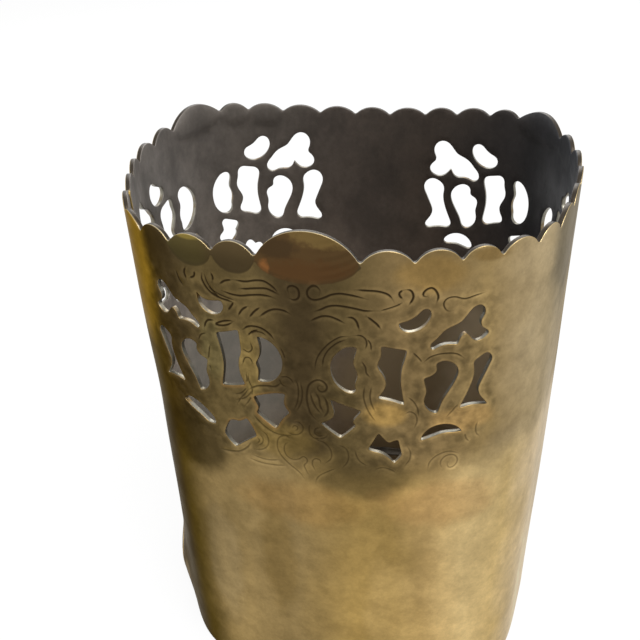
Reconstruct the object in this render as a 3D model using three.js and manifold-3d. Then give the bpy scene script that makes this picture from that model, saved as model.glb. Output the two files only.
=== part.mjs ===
// A pierced brass cup holder: one strip of sheet brass, sawn through in three ornamental
// panels, filed into scallops along the rim, bent round by hand and brazed at its ends.
// A flat plate is soldered in at the foot for the cup to stand on.
// Millimetres, +Z up, standing on z = 0, with the front panel facing -Y.

import * as THREE from 'three';
import { mergeVertices } from 'three/addons/utils/BufferGeometryUtils.js';
import Module from 'manifold-3d';

const wasm = await Module();
wasm.setup();

// Wall
const notch_height = 88.3;          // foot to the notches between the scallops
const sheet_thickness = 0.8;

// Plan of the outside, as waves on a circle about its middle
const mean_radius = 37.0;
const oval_wave = 1.8;              // wider than deep
const oval_angle = -5.2;            // degrees, direction of a crest of the wave
const egg_wave = 1.4;               // one corner fuller than the others
const egg_angle = 36.2;
const corner_wave = 2.05;           // four rounded corners
const corner_angle = 49.2;
const flattening_wave = 0.34;       // takes the bow out of the sides
const front_angle = -87.7;          // direction of the front panel's middle line

// Rim
const small_lobe_heights = [2.0, 1.5, 2.0]; // right of the front panel, at the back, left of it
const large_lobe_width = 14.0;
const large_lobe_slip = 0.4;        // filed this far off the panel's middle line
const steps_per_small_lobe = 5;
const steps_per_large_lobe = 9;

// How wide each small lobe was cut against its neighbours, going round from the front panel
const right_lobes = [7.0, 6.1, 5.4, 6.2, 6.0, 8.2, 7.6, 7.6, 7.6, 7.6];
const back_lobes = [6.1, 6.5, 6.1, 7.0, 6.9, 7.2, 7.7, 7.1, 6.1];
const left_lobes = [7.4, 8.6, 7.1, 7.6, 7.6, 7.6, 5.9, 7.0, 6.4];

// Where the notches stand over or under their common height: [middle along the rim, reach, rise]
const notch_waves = [[155, 12, 1.3], [84, 8, 0.9], [116, 20, -0.4]];

// The three panels, an even third of the way round apart but for a slip in setting them out.
// The back two are sawn wider than they were drawn, and their upper rows sit a little high.
// The right half of the last one is set out wider too.
const panels = {
  front: { slip: 0, shift: 0, upper_rise: 0, sawn_wider: 0, lobe_height: 4.5, right_stretch: 1 },
  back_right: { slip: 3.8, shift: -0.4, upper_rise: 0.2, sawn_wider: 0.5, lobe_height: 2.1, right_stretch: 1 },
  back_left: { slip: -0.2, shift: 0, upper_rise: 0.9, sawn_wider: 0.6, lobe_height: 2.6, right_stretch: 1.2 },
};
const upper_row = ['upper_crescent', 'bird'];

// How large an opening of the back panels came out against its drawing
const back_sizes = {
  half_moon: 1.04,
  window: 1.05,
  kidney: 1,
  bone: 1.14,
  upper_crescent: 1.1,
  bird: 1.16,
  arrow: 0.8,
  star: 0.85,
  lower_crescent: 0.93,
};

// Openings that went astray in sawing, as [outward, down]
const strays = {
  back_right: {
    right: { arrow: [0.4, 0.8], upper_crescent: [-0.4, 0], kidney: [-0.4, 0], bird: [-0.4, 0] },
    left: { half_moon: [-0.4, 1.2] },
  },
  back_left: {
    right: { half_moon: [0, -1.0], window: [0, -0.5], upper_crescent: [0, 0.5], bird: [1.8, 0.2] },
    left: {
      half_moon: [-0.5, 0],
      window: [-0.5, -0.3],
      kidney: [-0.2, -1.0],
      bone: [1.5, -1.3],
      upper_crescent: [-0.5, -0.2],
      bird: [0.4, -0.2],
      star: [-0.4, 0],
    },
  },
};

// Joints
const braze_width = 0.8;
const joint_clearance = 0.1;        // between a solid and the one it is soldered to
const floor_thickness = 1.0;
const solder_fillet = 1.5;
const floor_steps = 96;

// Openings on the right of a panel's middle line, as [across, drop below the notches].
// The left half is the same drawing turned over, slipped outward and down by hand.
const openings = {
  half_moon: {
    slip: [0.4, -0.1],
    outline: [
      [7.2, 12.2], [6.0, 12.1], [4.4, 13.1], [3.4, 14.8], [3.1, 16.3], [3.5, 18.1], [4.6, 19.2],
      [6.3, 19.7], [6.9, 18.8], [6.9, 17.2], [6.3, 16.4], [6.7, 14.8], [6.5, 13.5],
    ],
  },
  window: {
    slip: [0.2, -0.2],
    outline: [
      [10.1, 12.1], [13.6, 13.0], [13.1, 15.2], [12.9, 17.6], [13.5, 21.6], [9.8, 20.7], [10.6, 19.4],
      [10.8, 17.6], [9.6, 15.7], [10.2, 14.0],
    ],
  },
  kidney: {
    slip: [-0.1, 0.4],
    outline: [
      [17.7, 14.8], [19.2, 14.8], [20.5, 16.0], [20.5, 17.6], [19.7, 19.8], [18.8, 21.6], [18.2, 23.4],
      [17.3, 23.4], [16.2, 22.1], [16.3, 19.6], [16.0, 17.4], [17.1, 17.0], [17.7, 16.0],
    ],
  },
  bone: {
    slip: [-0.3, 0.4],
    outline: [
      [24.7, 14.2], [25.6, 15.2], [24.7, 17.4], [23.8, 19.9], [24.0, 21.2], [25.3, 23.1], [22.9, 22.7],
      [21.1, 22.9], [22.0, 21.1], [22.8, 18.5], [22.9, 15.7],
    ],
  },
  upper_crescent: {
    slip: [-0.3, 0.2],
    outline: [
      [12.3, 8.6], [14.3, 7.8], [15.9, 6.4], [16.6, 7.0], [16.4, 8.1], [15.4, 9.2], [13.7, 9.7],
    ],
  },
  bird: {
    slip: [-0.2, -0.1],
    outline: [
      [16.8, 12.0], [18.9, 9.6], [20.8, 8.7], [22.1, 6.7], [23.3, 6.5], [24.0, 7.6], [23.6, 8.8],
      [23.9, 10.0], [24.8, 11.0], [22.9, 11.6], [22.2, 10.8], [21.4, 10.6], [20.6, 11.5], [18.8, 12.1],
      [17.0, 12.8],
    ],
  },
  arrow: {
    slip: [1.1, 0.0],
    outline: [
      [3.0, 21.5], [7.5, 23.0], [6.3, 24.4], [7.0, 25.4], [4.7, 27.7], [1.7, 25.5], [3.5, 23.8],
    ],
  },
  star: {
    slip: [0.8, 0.7],
    outline: [
      [9.7, 27.1], [11.2, 28.4], [12.7, 28.3], [13.4, 30.8], [12.5, 31.9], [10.8, 30.9], [8.4, 29.9],
    ],
  },
  lower_crescent: {
    slip: [-0.2, 0.7],
    outline: [
      [15.8, 28.1], [16.9, 26.6], [18.5, 25.7], [20.5, 25.5], [21.8, 26.8], [20.2, 26.9], [18.0, 27.4],
    ],
  },
};
const cutter_overrun = 1.5;         // how far a saw cut runs clear of the sheet on each side

// Plan curve

const table_steps = 2880;

function planRadius(angle) {
  const turn = THREE.MathUtils.degToRad;
  return mean_radius
    + oval_wave * Math.cos(2 * (angle - turn(oval_angle)))
    + egg_wave * Math.cos(3 * (angle - turn(egg_angle)))
    + corner_wave * Math.cos(4 * (angle - turn(corner_angle)))
    + flattening_wave * Math.cos(8 * (angle - turn(corner_angle)));
}

// Points and running length round the plan, counterclockwise from the front panel's middle
const table = [];
{
  let length = 0;
  let last = null;
  for (let i = 0; i <= table_steps; i += 1) {
    const angle = THREE.MathUtils.degToRad(front_angle) + (2 * Math.PI * i) / table_steps;
    const point = new THREE.Vector2(Math.cos(angle), Math.sin(angle)).multiplyScalar(planRadius(angle));
    if (last) length += point.distanceTo(last);
    table.push({ length, point });
    last = point;
  }
}
const girth = table[table_steps].length;

// The plan's box is centred on the origin
const plan_box = new THREE.Box2().setFromPoints(table.map((entry) => entry.point));
const plan_middle = plan_box.getCenter(new THREE.Vector2());

function planPoint(along) {
  const wanted = THREE.MathUtils.euclideanModulo(along, girth);
  let low = 0;
  let high = table_steps;
  while (high - low > 1) {
    const middle = (low + high) >> 1;
    if (table[middle].length > wanted) high = middle;
    else low = middle;
  }
  const share = (wanted - table[low].length) / (table[high].length - table[low].length);
  const from = table[low].point;
  const to = table[high].point;
  const before = table[(low + table_steps - 1) % table_steps].point;
  const after = table[(high + 1) % table_steps].point;
  const tangent = to.clone().sub(before).lerp(after.clone().sub(from), share).normalize();
  return { point: from.clone().lerp(to, share).sub(plan_middle), outward: new THREE.Vector2(tangent.y, -tangent.x) };
}

// A point of the wall: along the rim, height above the foot, depth in from the outer face
function wallPoint(along, height, depth) {
  const { point, outward } = planPoint(along);
  point.addScaledVector(outward, -depth);
  return new THREE.Vector3(point.x, point.y, height);
}

// Rim

const panel_list = Object.values(panels);
const panel_middles = panel_list.map((panel, i) => (i * girth) / panel_list.length + panel.slip);

function lobesBetween(start, end, widths, height) {
  const scale = (end - start) / widths.reduce((sum, width) => sum + width, 0);
  let from = start;
  return widths.map((width) => {
    const lobe = { from, to: from + width * scale, height, steps: steps_per_small_lobe };
    from = lobe.to;
    return lobe;
  });
}

const lobes = [];
[right_lobes, back_lobes, left_lobes].forEach((widths, side) => {
  const half = large_lobe_width / 2;
  const middle = panel_middles[side] + large_lobe_slip;
  const next = (panel_middles[side + 1] ?? girth) + large_lobe_slip;
  const height = panel_list[side].lobe_height;
  lobes.push({ from: middle - half, to: middle + half, height, steps: steps_per_large_lobe });
  lobes.push(...lobesBetween(middle + half, next - half, widths, small_lobe_heights[side]));
});

// Each lobe is the arc of a circle through its two notches
function lobeRise(lobe, along) {
  const half = (lobe.to - lobe.from) / 2;
  const radius = (half * half + lobe.height * lobe.height) / (2 * lobe.height);
  const off = along - (lobe.from + lobe.to) / 2;
  return Math.max(0, Math.sqrt(Math.max(0, radius * radius - off * off)) - (radius - lobe.height));
}

function rimHeight(along) {
  const start = lobes[0].from;
  const place = start + THREE.MathUtils.euclideanModulo(along - start, girth);
  const lobe = lobes.find((each) => place >= each.from && place <= each.to) ?? lobes[0];
  const waves = notch_waves.map(([middle, reach, rise]) => rise * Math.exp(-(((place - middle) / reach) ** 2)));
  return notch_height + waves.reduce((sum, wave) => sum + wave) + lobeRise(lobe, place);
}

// Solids

function geometryFrom(points, faces) {
  const geometry = new THREE.BufferGeometry();
  const position = points.flatMap((point) => [point.x, point.y, point.z]);
  geometry.setAttribute('position', new THREE.Float32BufferAttribute(position, 3));
  geometry.setIndex(faces.flat());
  return geometry;
}

// A bar through sections of equally many points, each listed the same way round
function barGeometry(sections, closed) {
  const count = sections[0].length;
  const faces = [];
  const last = closed ? sections.length : sections.length - 1;
  for (let i = 0; i < last; i += 1) {
    const here = i * count;
    const there = ((i + 1) % sections.length) * count;
    for (let k = 0; k < count; k += 1) {
      const next = (k + 1) % count;
      faces.push([here + k, there + k, there + next], [here + k, there + next, here + next]);
    }
  }
  if (!closed) {
    const end = (sections.length - 1) * count;
    for (let k = 1; k < count - 1; k += 1) {
      faces.push([0, k, k + 1], [end, end + k + 1, end + k]);
    }
  }
  return geometryFrom(sections.flat(), faces);
}

function solidFrom(geometry) {
  const bare = geometry.clone();
  bare.deleteAttribute('normal');
  bare.deleteAttribute('uv');
  const merged = mergeVertices(bare);
  return new wasm.Manifold(new wasm.Mesh({
    numProp: 3,
    vertProperties: new Float32Array(merged.attributes.position.array),
    triVerts: new Uint32Array(merged.index.array),
  }));
}

function geometryOf(solid) {
  const mesh = solid.getMesh();
  const geometry = new THREE.BufferGeometry();
  geometry.setAttribute('position', new THREE.Float32BufferAttribute(mesh.vertProperties, 3));
  geometry.setIndex(Array.from(mesh.triVerts));
  return geometry;
}

// The seam is halfway between the left back panel and the front panel
const seam_middle = (panel_middles[2] + girth) / 2;

function sleeveSection(along) {
  const top = rimHeight(along);
  return [
    wallPoint(along, 0, 0),
    wallPoint(along, top, 0),
    wallPoint(along, top, sheet_thickness),
    wallPoint(along, 0, sheet_thickness),
  ];
}

function sleeveStrip() {
  const start = seam_middle - girth + braze_width / 2;
  const end = seam_middle - braze_width / 2;
  const stations = [start, end];
  for (const lobe of lobes) {
    for (let i = 0; i < lobe.steps; i += 1) {
      const station = lobe.from + ((lobe.to - lobe.from) * i) / lobe.steps;
      const place = start + THREE.MathUtils.euclideanModulo(station - start, girth);
      if (place > start && place < end) stations.push(place);
    }
  }
  stations.sort((a, b) => a - b);
  return barGeometry(stations.map(sleeveSection), false);
}

// An anticlockwise outline with every edge moved out by a margin
function widened(outline, margin) {
  const count = outline.length;
  return outline.map((point, k) => {
    const before = point.clone().sub(outline[(k + count - 1) % count]).normalize();
    const after = outline[(k + 1) % count].clone().sub(point).normalize();
    const outward = new THREE.Vector2(before.y + after.y, -before.x - after.x).normalize();
    return point.clone().addScaledVector(outward, margin);
  });
}

// An outline made larger or smaller about its own middle
function resized(outline, size) {
  const middle = new THREE.Box2().setFromPoints(outline).getCenter(new THREE.Vector2());
  return outline.map((point) => point.clone().sub(middle).multiplyScalar(size).add(middle));
}

// A saw cut: the outline carried through the sheet, square to its face
function cutterFor(name, side, panel_name, middle) {
  const panel = panels[panel_name];
  const { outline, slip } = openings[name];
  let drawn = outline.map(([across, drop]) => new THREE.Vector2(
    side > 0 ? across : -(across + slip[0]),
    side > 0 ? -drop : -(drop + slip[1]),
  ));
  if (THREE.ShapeUtils.isClockWise(drawn)) drawn.reverse();
  if (panel_name in strays) {
    const stretch = side > 0 ? panel.right_stretch : 1;
    const [outward, down] = strays[panel_name][side > 0 ? 'right' : 'left'][name] ?? [0, 0];
    drawn = resized(widened(drawn, panel.sawn_wider), back_sizes[name]).map((point) => new THREE.Vector2(
      point.x * stretch + side * outward + panel.shift,
      point.y - down,
    ));
  }
  const level = notch_height + (upper_row.includes(name) ? panel.upper_rise : 0);
  const ring = (depth) => drawn.map((point) => wallPoint(middle + point.x, level + point.y, depth));
  const count = drawn.length;
  const faces = [];
  for (const [a, b, c] of THREE.ShapeUtils.triangulateShape(drawn, [])) {
    faces.push([a, b, c], [count + a, count + c, count + b]);
  }
  for (let k = 0; k < count; k += 1) {
    const next = (k + 1) % count;
    faces.push([k, count + k, count + next], [k, count + next, next]);
  }
  const points = [...ring(-cutter_overrun), ...ring(sheet_thickness + cutter_overrun)];
  return solidFrom(geometryFrom(points, faces));
}

function piercedSleeve() {
  let sleeve = solidFrom(sleeveStrip());
  Object.keys(panels).forEach((panel_name, i) => {
    for (const name of Object.keys(openings)) {
      for (const side of [1, -1]) {
        sleeve = sleeve.subtract(cutterFor(name, side, panel_name, panel_middles[i]));
      }
    }
  });
  return geometryOf(sleeve);
}

function seamBraze() {
  const half = braze_width / 2 - joint_clearance;
  return barGeometry([seam_middle - half, seam_middle + half].map(sleeveSection), false);
}

// The plan drawn in by a depth, as points going round
function insetPlan(depth) {
  return Array.from({ length: floor_steps }, (_, i) => wallPoint((girth * i) / floor_steps, 0, depth));
}

function floorPlate() {
  const shape = new THREE.Shape(
    insetPlan(sheet_thickness + joint_clearance).map((point) => new THREE.Vector2(point.x, point.y)),
  );
  const geometry = new THREE.ExtrudeGeometry(shape, { depth: floor_thickness, bevelEnabled: false });
  return geometryOf(solidFrom(geometry));
}

// Three-cornered in section: against the wall, on the plate, and the open face between
function floorSolder() {
  const foot = floor_thickness + joint_clearance;
  const near = sheet_thickness + joint_clearance;
  const sections = Array.from({ length: floor_steps }, (_, i) => {
    const along = (girth * i) / floor_steps;
    return [
      wallPoint(along, foot, near),
      wallPoint(along, foot + solder_fillet, near),
      wallPoint(along, foot, near + solder_fillet),
    ];
  });
  return barGeometry(sections, true);
}

// Materials

const aged_brass = new THREE.MeshStandardMaterial({ color: 0xa08446, roughness: 0.38, metalness: 1 });
const braze_metal = new THREE.MeshStandardMaterial({ color: 0xb79a55, roughness: 0.45, metalness: 1 });
const dark_brass = new THREE.MeshStandardMaterial({ color: 0x6b5c3e, roughness: 0.55, metalness: 1 });
const grey_solder = new THREE.MeshStandardMaterial({ color: 0x85847d, roughness: 0.5, metalness: 1 });

function named(name, geometry, material) {
  const mesh = new THREE.Mesh(geometry, material);
  mesh.name = name;
  return mesh;
}

const holder = new THREE.Group();
holder.add(
  named('pierced_sleeve', piercedSleeve(), aged_brass),
  named('seam_braze', seamBraze(), braze_metal),
  named('floor_plate', floorPlate(), dark_brass),
  named('floor_solder', floorSolder(), grey_solder),
);

export default holder;
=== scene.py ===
"""A pierced and chased brass cup holder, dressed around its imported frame.

The sleeve is drawn flat, as the sheet was: rim, openings and chased lines in millimetres along
the wall and below the notches. It is then bent round the plan and given its thickness.
"""

import math

import bpy
import numpy as np
from mathutils import Matrix, Vector
from mathutils.geometry import delaunay_2d_cdt
from mathutils.kdtree import KDTree


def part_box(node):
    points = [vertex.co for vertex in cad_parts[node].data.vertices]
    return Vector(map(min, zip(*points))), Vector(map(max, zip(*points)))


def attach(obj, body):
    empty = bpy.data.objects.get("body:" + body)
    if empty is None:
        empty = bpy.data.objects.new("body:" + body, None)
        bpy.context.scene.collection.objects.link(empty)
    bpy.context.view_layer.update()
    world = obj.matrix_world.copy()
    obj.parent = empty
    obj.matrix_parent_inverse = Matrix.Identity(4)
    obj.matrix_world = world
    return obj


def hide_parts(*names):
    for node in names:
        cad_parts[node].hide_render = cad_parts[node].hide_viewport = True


bl_info = {
    "name": "Pierced Brass Cup Holder",
    "version": (1, 0, 0),
    "blender": (4, 5, 0),
    "location": "View3D > Sidebar > Cup Holder",
    "description": "Builds the sleeve, its seam, floor and solder around the frame, and a stage",
    "category": "Object",
}

MM = 0.001
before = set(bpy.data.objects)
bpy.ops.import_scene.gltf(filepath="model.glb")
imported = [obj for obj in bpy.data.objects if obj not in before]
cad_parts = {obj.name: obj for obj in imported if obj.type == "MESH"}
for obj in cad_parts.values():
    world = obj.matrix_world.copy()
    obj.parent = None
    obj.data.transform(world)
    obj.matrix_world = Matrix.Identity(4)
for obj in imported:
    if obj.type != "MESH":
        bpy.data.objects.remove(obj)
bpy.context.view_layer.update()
PLATE_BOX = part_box("floor_plate")

# Openings right of a panel's middle line, as [across, drop below the notches] in millimetres.
# Each list is one smooth stretch, from a corner up to the corner that starts the next.
RIGHT_OPENINGS = {
    "half_moon": [
        [(6.9, 12.2), (5.5, 12.2), (4.4, 13.0), (3.6, 14.0), (3.2, 15.2), (3.2, 16.5), (3.5, 17.7),
         (4.1, 18.7), (5.0, 19.5), (6.1, 19.9)],
        [(6.7, 19.4), (6.5, 18.4), (6.8, 17.4), (6.9, 16.4), (6.4, 15.2), (6.4, 14.2), (6.7, 13.2)],
    ],
    "window": [
        [(10.1, 12.0), (10.1, 13.6), (9.6, 15.2), (10.3, 16.6), (10.8, 17.9), (10.5, 19.3)],
        [(9.6, 20.6), (11.5, 21.1)],
        [(13.4, 21.9), (13.1, 20.2), (12.8, 18.0), (12.9, 15.8), (13.3, 14.2)],
        [(13.6, 12.7), (11.8, 12.4)],
    ],
    "kidney": [
        [(17.5, 15.0), (18.7, 14.6), (20.1, 15.3), (20.7, 16.6), (20.3, 18.2), (19.4, 20.0),
         (18.6, 21.6), (18.3, 22.7)],
        [(18.0, 23.6), (17.1, 23.2), (16.3, 22.2), (16.1, 21.0), (16.4, 19.8), (16.2, 18.6)],
        [(15.9, 17.4), (17.0, 17.0), (17.7, 16.2)],
    ],
    "bone": [
        [(24.7, 14.1), (25.6, 15.2), (25.0, 16.9), (24.2, 18.8), (23.8, 20.0), (24.1, 21.2), (24.8, 22.2)],
        [(25.5, 23.2), (24.1, 22.8), (22.6, 22.7)],
        [(21.1, 23.0), (21.8, 21.3), (22.4, 19.8), (22.9, 18.0), (23.0, 16.6), (22.8, 15.4), (23.7, 14.6)],
    ],
    "upper_crescent": [
        [(12.3, 8.5), (13.6, 8.1), (14.7, 7.4), (15.4, 6.6), (16.1, 6.3), (16.6, 6.9), (16.5, 7.9),
         (15.8, 9.0), (14.8, 9.7), (13.6, 9.9), (12.7, 9.4)],
    ],
    "bird": [
        [(16.6, 11.9), (17.6, 10.9), (18.5, 9.8), (19.6, 9.2), (20.6, 8.7), (21.4, 7.7), (22.2, 6.7),
         (23.1, 6.4), (23.8, 7.0), (23.9, 8.0), (23.4, 8.9), (23.6, 9.9), (24.3, 10.4)],
        [(24.8, 11.0), (23.9, 11.8), (22.9, 12.0), (22.2, 11.4), (21.6, 10.6), (21.1, 10.6),
         (20.6, 11.3)],
        [(20.4, 12.2), (19.2, 12.0), (18.0, 12.2)],
        [(16.9, 12.9), (16.7, 12.4)],
    ],
    "arrow": [
        [(2.9, 21.1), (5.1, 22.0)],
        [(7.4, 22.9), (6.7, 24.0), (6.1, 24.9)],
        [(6.6, 25.6), (5.5, 26.8)],
        [(4.3, 28.0), (2.8, 26.8)],
        [(1.4, 25.5), (2.6, 24.9), (3.4, 24.1), (3.4, 23.1), (3.2, 22.2)],
    ],
    "star": [
        [(9.8, 26.8), (10.5, 27.8), (11.2, 28.6), (11.9, 28.3)],
        [(12.6, 28.0), (12.9, 29.5)],
        [(13.2, 31.0), (12.7, 31.7)],
        [(12.1, 32.6), (11.2, 31.4), (10.1, 30.6), (9.1, 30.3)],
        [(8.2, 29.9), (8.9, 28.6), (9.4, 27.6)],
    ],
    "lower_crescent": [
        [(15.8, 28.4), (16.1, 27.3), (17.0, 26.2), (18.3, 25.6), (19.7, 25.6), (21.0, 26.2)],
        [(21.9, 27.3), (20.5, 27.2), (19.0, 27.2), (17.6, 27.7)],
    ],
}

# The front panel's left half where the saw went its own way
LEFT_OPENINGS = {
    "half_moon": [
        [(-7.3, 12.0), (-6.0, 12.2), (-4.9, 12.9), (-4.1, 14.0), (-3.7, 15.5), (-3.9, 17.0),
         (-4.5, 18.2), (-5.3, 19.1), (-6.5, 19.6)],
        [(-7.8, 19.7), (-7.5, 18.4), (-7.5, 17.4), (-7.8, 16.6), (-7.3, 15.7), (-7.0, 14.6), (-7.0, 13.4)],
    ],
    "window": [
        [(-10.1, 11.5), (-10.0, 13.4), (-10.0, 15.2), (-10.5, 16.6), (-10.6, 18.2), (-10.3, 19.6)],
        [(-9.8, 20.8), (-11.7, 21.4)],
        [(-13.8, 21.8), (-13.4, 20.0), (-13.1, 18.0), (-13.2, 16.0), (-13.5, 14.3)],
        [(-13.8, 12.7), (-12.0, 12.2)],
    ],
    "upper_crescent": [
        [(-16.2, 6.5), (-15.7, 7.2), (-14.7, 7.6), (-13.3, 7.5), (-12.4, 7.3), (-12.0, 8.0),
         (-12.3, 8.9), (-13.1, 9.6), (-14.2, 9.8), (-15.3, 9.3), (-16.1, 8.2)],
    ],
    "arrow": [
        [(-3.6, 21.1), (-5.2, 21.3), (-7.0, 21.9)],
        [(-8.8, 22.7), (-8.3, 23.8), (-8.0, 24.6)],
        [(-8.5, 25.5), (-7.0, 26.8)],
        [(-5.5, 27.9), (-4.9, 26.8), (-4.2, 25.6)],
        [(-3.1, 24.4), (-3.8, 23.4), (-3.9, 22.3)],
    ],
    "star": [
        [(-10.2, 27.0), (-11.4, 27.9), (-12.4, 27.9)],
        [(-13.2, 28.2), (-13.9, 29.5)],
        [(-14.5, 31.0), (-13.8, 32.2)],
        [(-12.7, 33.3), (-11.6, 32.3), (-10.4, 31.3)],
        [(-8.8, 30.1), (-9.2, 28.9), (-9.7, 27.9)],
    ],
    "lower_crescent": [
        [(-21.8, 27.0), (-20.5, 26.0), (-18.9, 26.3), (-17.2, 27.3), (-16.0, 28.6)],
        [(-15.8, 29.8), (-17.2, 29.8), (-18.5, 28.9), (-20.0, 28.1)],
    ],
}

# Where the left half is the right one turned over, it slipped outward and down by this much
LEFT_SLIPS = {
    "half_moon": (0.4, -0.1),
    "window": (0.2, -0.2),
    "kidney": (-0.1, 0.4),
    "bone": (-0.3, 0.4),
    "upper_crescent": (-0.3, 0.2),
    "bird": (-0.2, -0.1),
    "arrow": (1.1, 0.0),
    "star": (0.8, 0.7),
    "lower_crescent": (-0.2, 0.7),
}
UPPER_ROW = ("upper_crescent", "bird")

# Each panel: slip from an even third of the way round, shift of its openings, rise of their upper
# row, how much wider it was sawn than drawn, height of the large scallop, stretch of the right half
PANELS = (
    ("front", 0.0, 0.0, 0.0, 0.0, 4.5, 1.0),
    ("back_right", 3.8, -0.4, 0.2, 0.5, 2.1, 1.0),
    ("back_left", -0.2, 0.0, 0.9, 0.6, 2.6, 1.2),
)

# How large an opening of the back panels came out against its drawing
BACK_SIZES = {
    "half_moon": 1.04,
    "window": 1.05,
    "kidney": 1.0,
    "bone": 1.14,
    "upper_crescent": 1.1,
    "bird": 1.16,
    "arrow": 0.8,
    "star": 0.85,
    "lower_crescent": 0.93,
}

# Openings that went astray in sawing, as (panel, side, name): (outward, down)
STRAYS = {
    ("back_right", 1, "arrow"): (0.4, 0.8),
    ("back_right", 1, "upper_crescent"): (-0.4, 0.0),
    ("back_right", 1, "kidney"): (-0.4, 0.0),
    ("back_right", 1, "bird"): (-0.4, 0.0),
    ("back_right", -1, "half_moon"): (-0.4, 1.2),
    ("back_left", 1, "half_moon"): (0.0, -1.0),
    ("back_left", 1, "window"): (0.0, -0.5),
    ("back_left", 1, "upper_crescent"): (0.0, 0.5),
    ("back_left", 1, "bird"): (1.8, 0.2),
    ("back_left", -1, "half_moon"): (-0.5, 0.0),
    ("back_left", -1, "window"): (-0.5, -0.3),
    ("back_left", -1, "kidney"): (-0.2, -1.0),
    ("back_left", -1, "bone"): (1.5, -1.3),
    ("back_left", -1, "upper_crescent"): (-0.5, -0.2),
    ("back_left", -1, "bird"): (0.4, -0.2),
    ("back_left", -1, "star"): (-0.4, 0.0),
}

# Small scallops, going round from the front panel: height, then widths against each other
SCALLOPS = (
    (2.0, (7.0, 6.1, 5.4, 6.2, 6.0, 8.2, 7.6, 7.6, 7.6, 7.6)),
    (1.5, (6.1, 6.5, 6.1, 7.0, 6.9, 7.2, 7.7, 7.1, 6.1)),
    (2.0, (7.4, 8.6, 7.1, 7.6, 7.6, 7.6, 5.9, 7.0, 6.4)),
)

# Where the notches stand over or under their common height: (middle along the rim, reach, rise)
NOTCH_WAVES = ((155.0, 12.0, 1.3), (84.0, 8.0, 0.9), (116.0, 20.0, -0.4))

# Where the wall was bent off its plan: (middle along it, reach, height, reach upward, outward)
BENDS = (
    (-41.0, 6.0, 9.0, 7.5, 1.65),
    (-36.0, 13.0, 38.0, 34.0, -0.55),
    (-37.0, 10.0, 57.0, 9.0, -0.25),
    (-32.0, 9.0, 0.0, 14.0, -0.35),
    (57.0, 18.0, 0.0, 29.0, -0.7),
)

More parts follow.
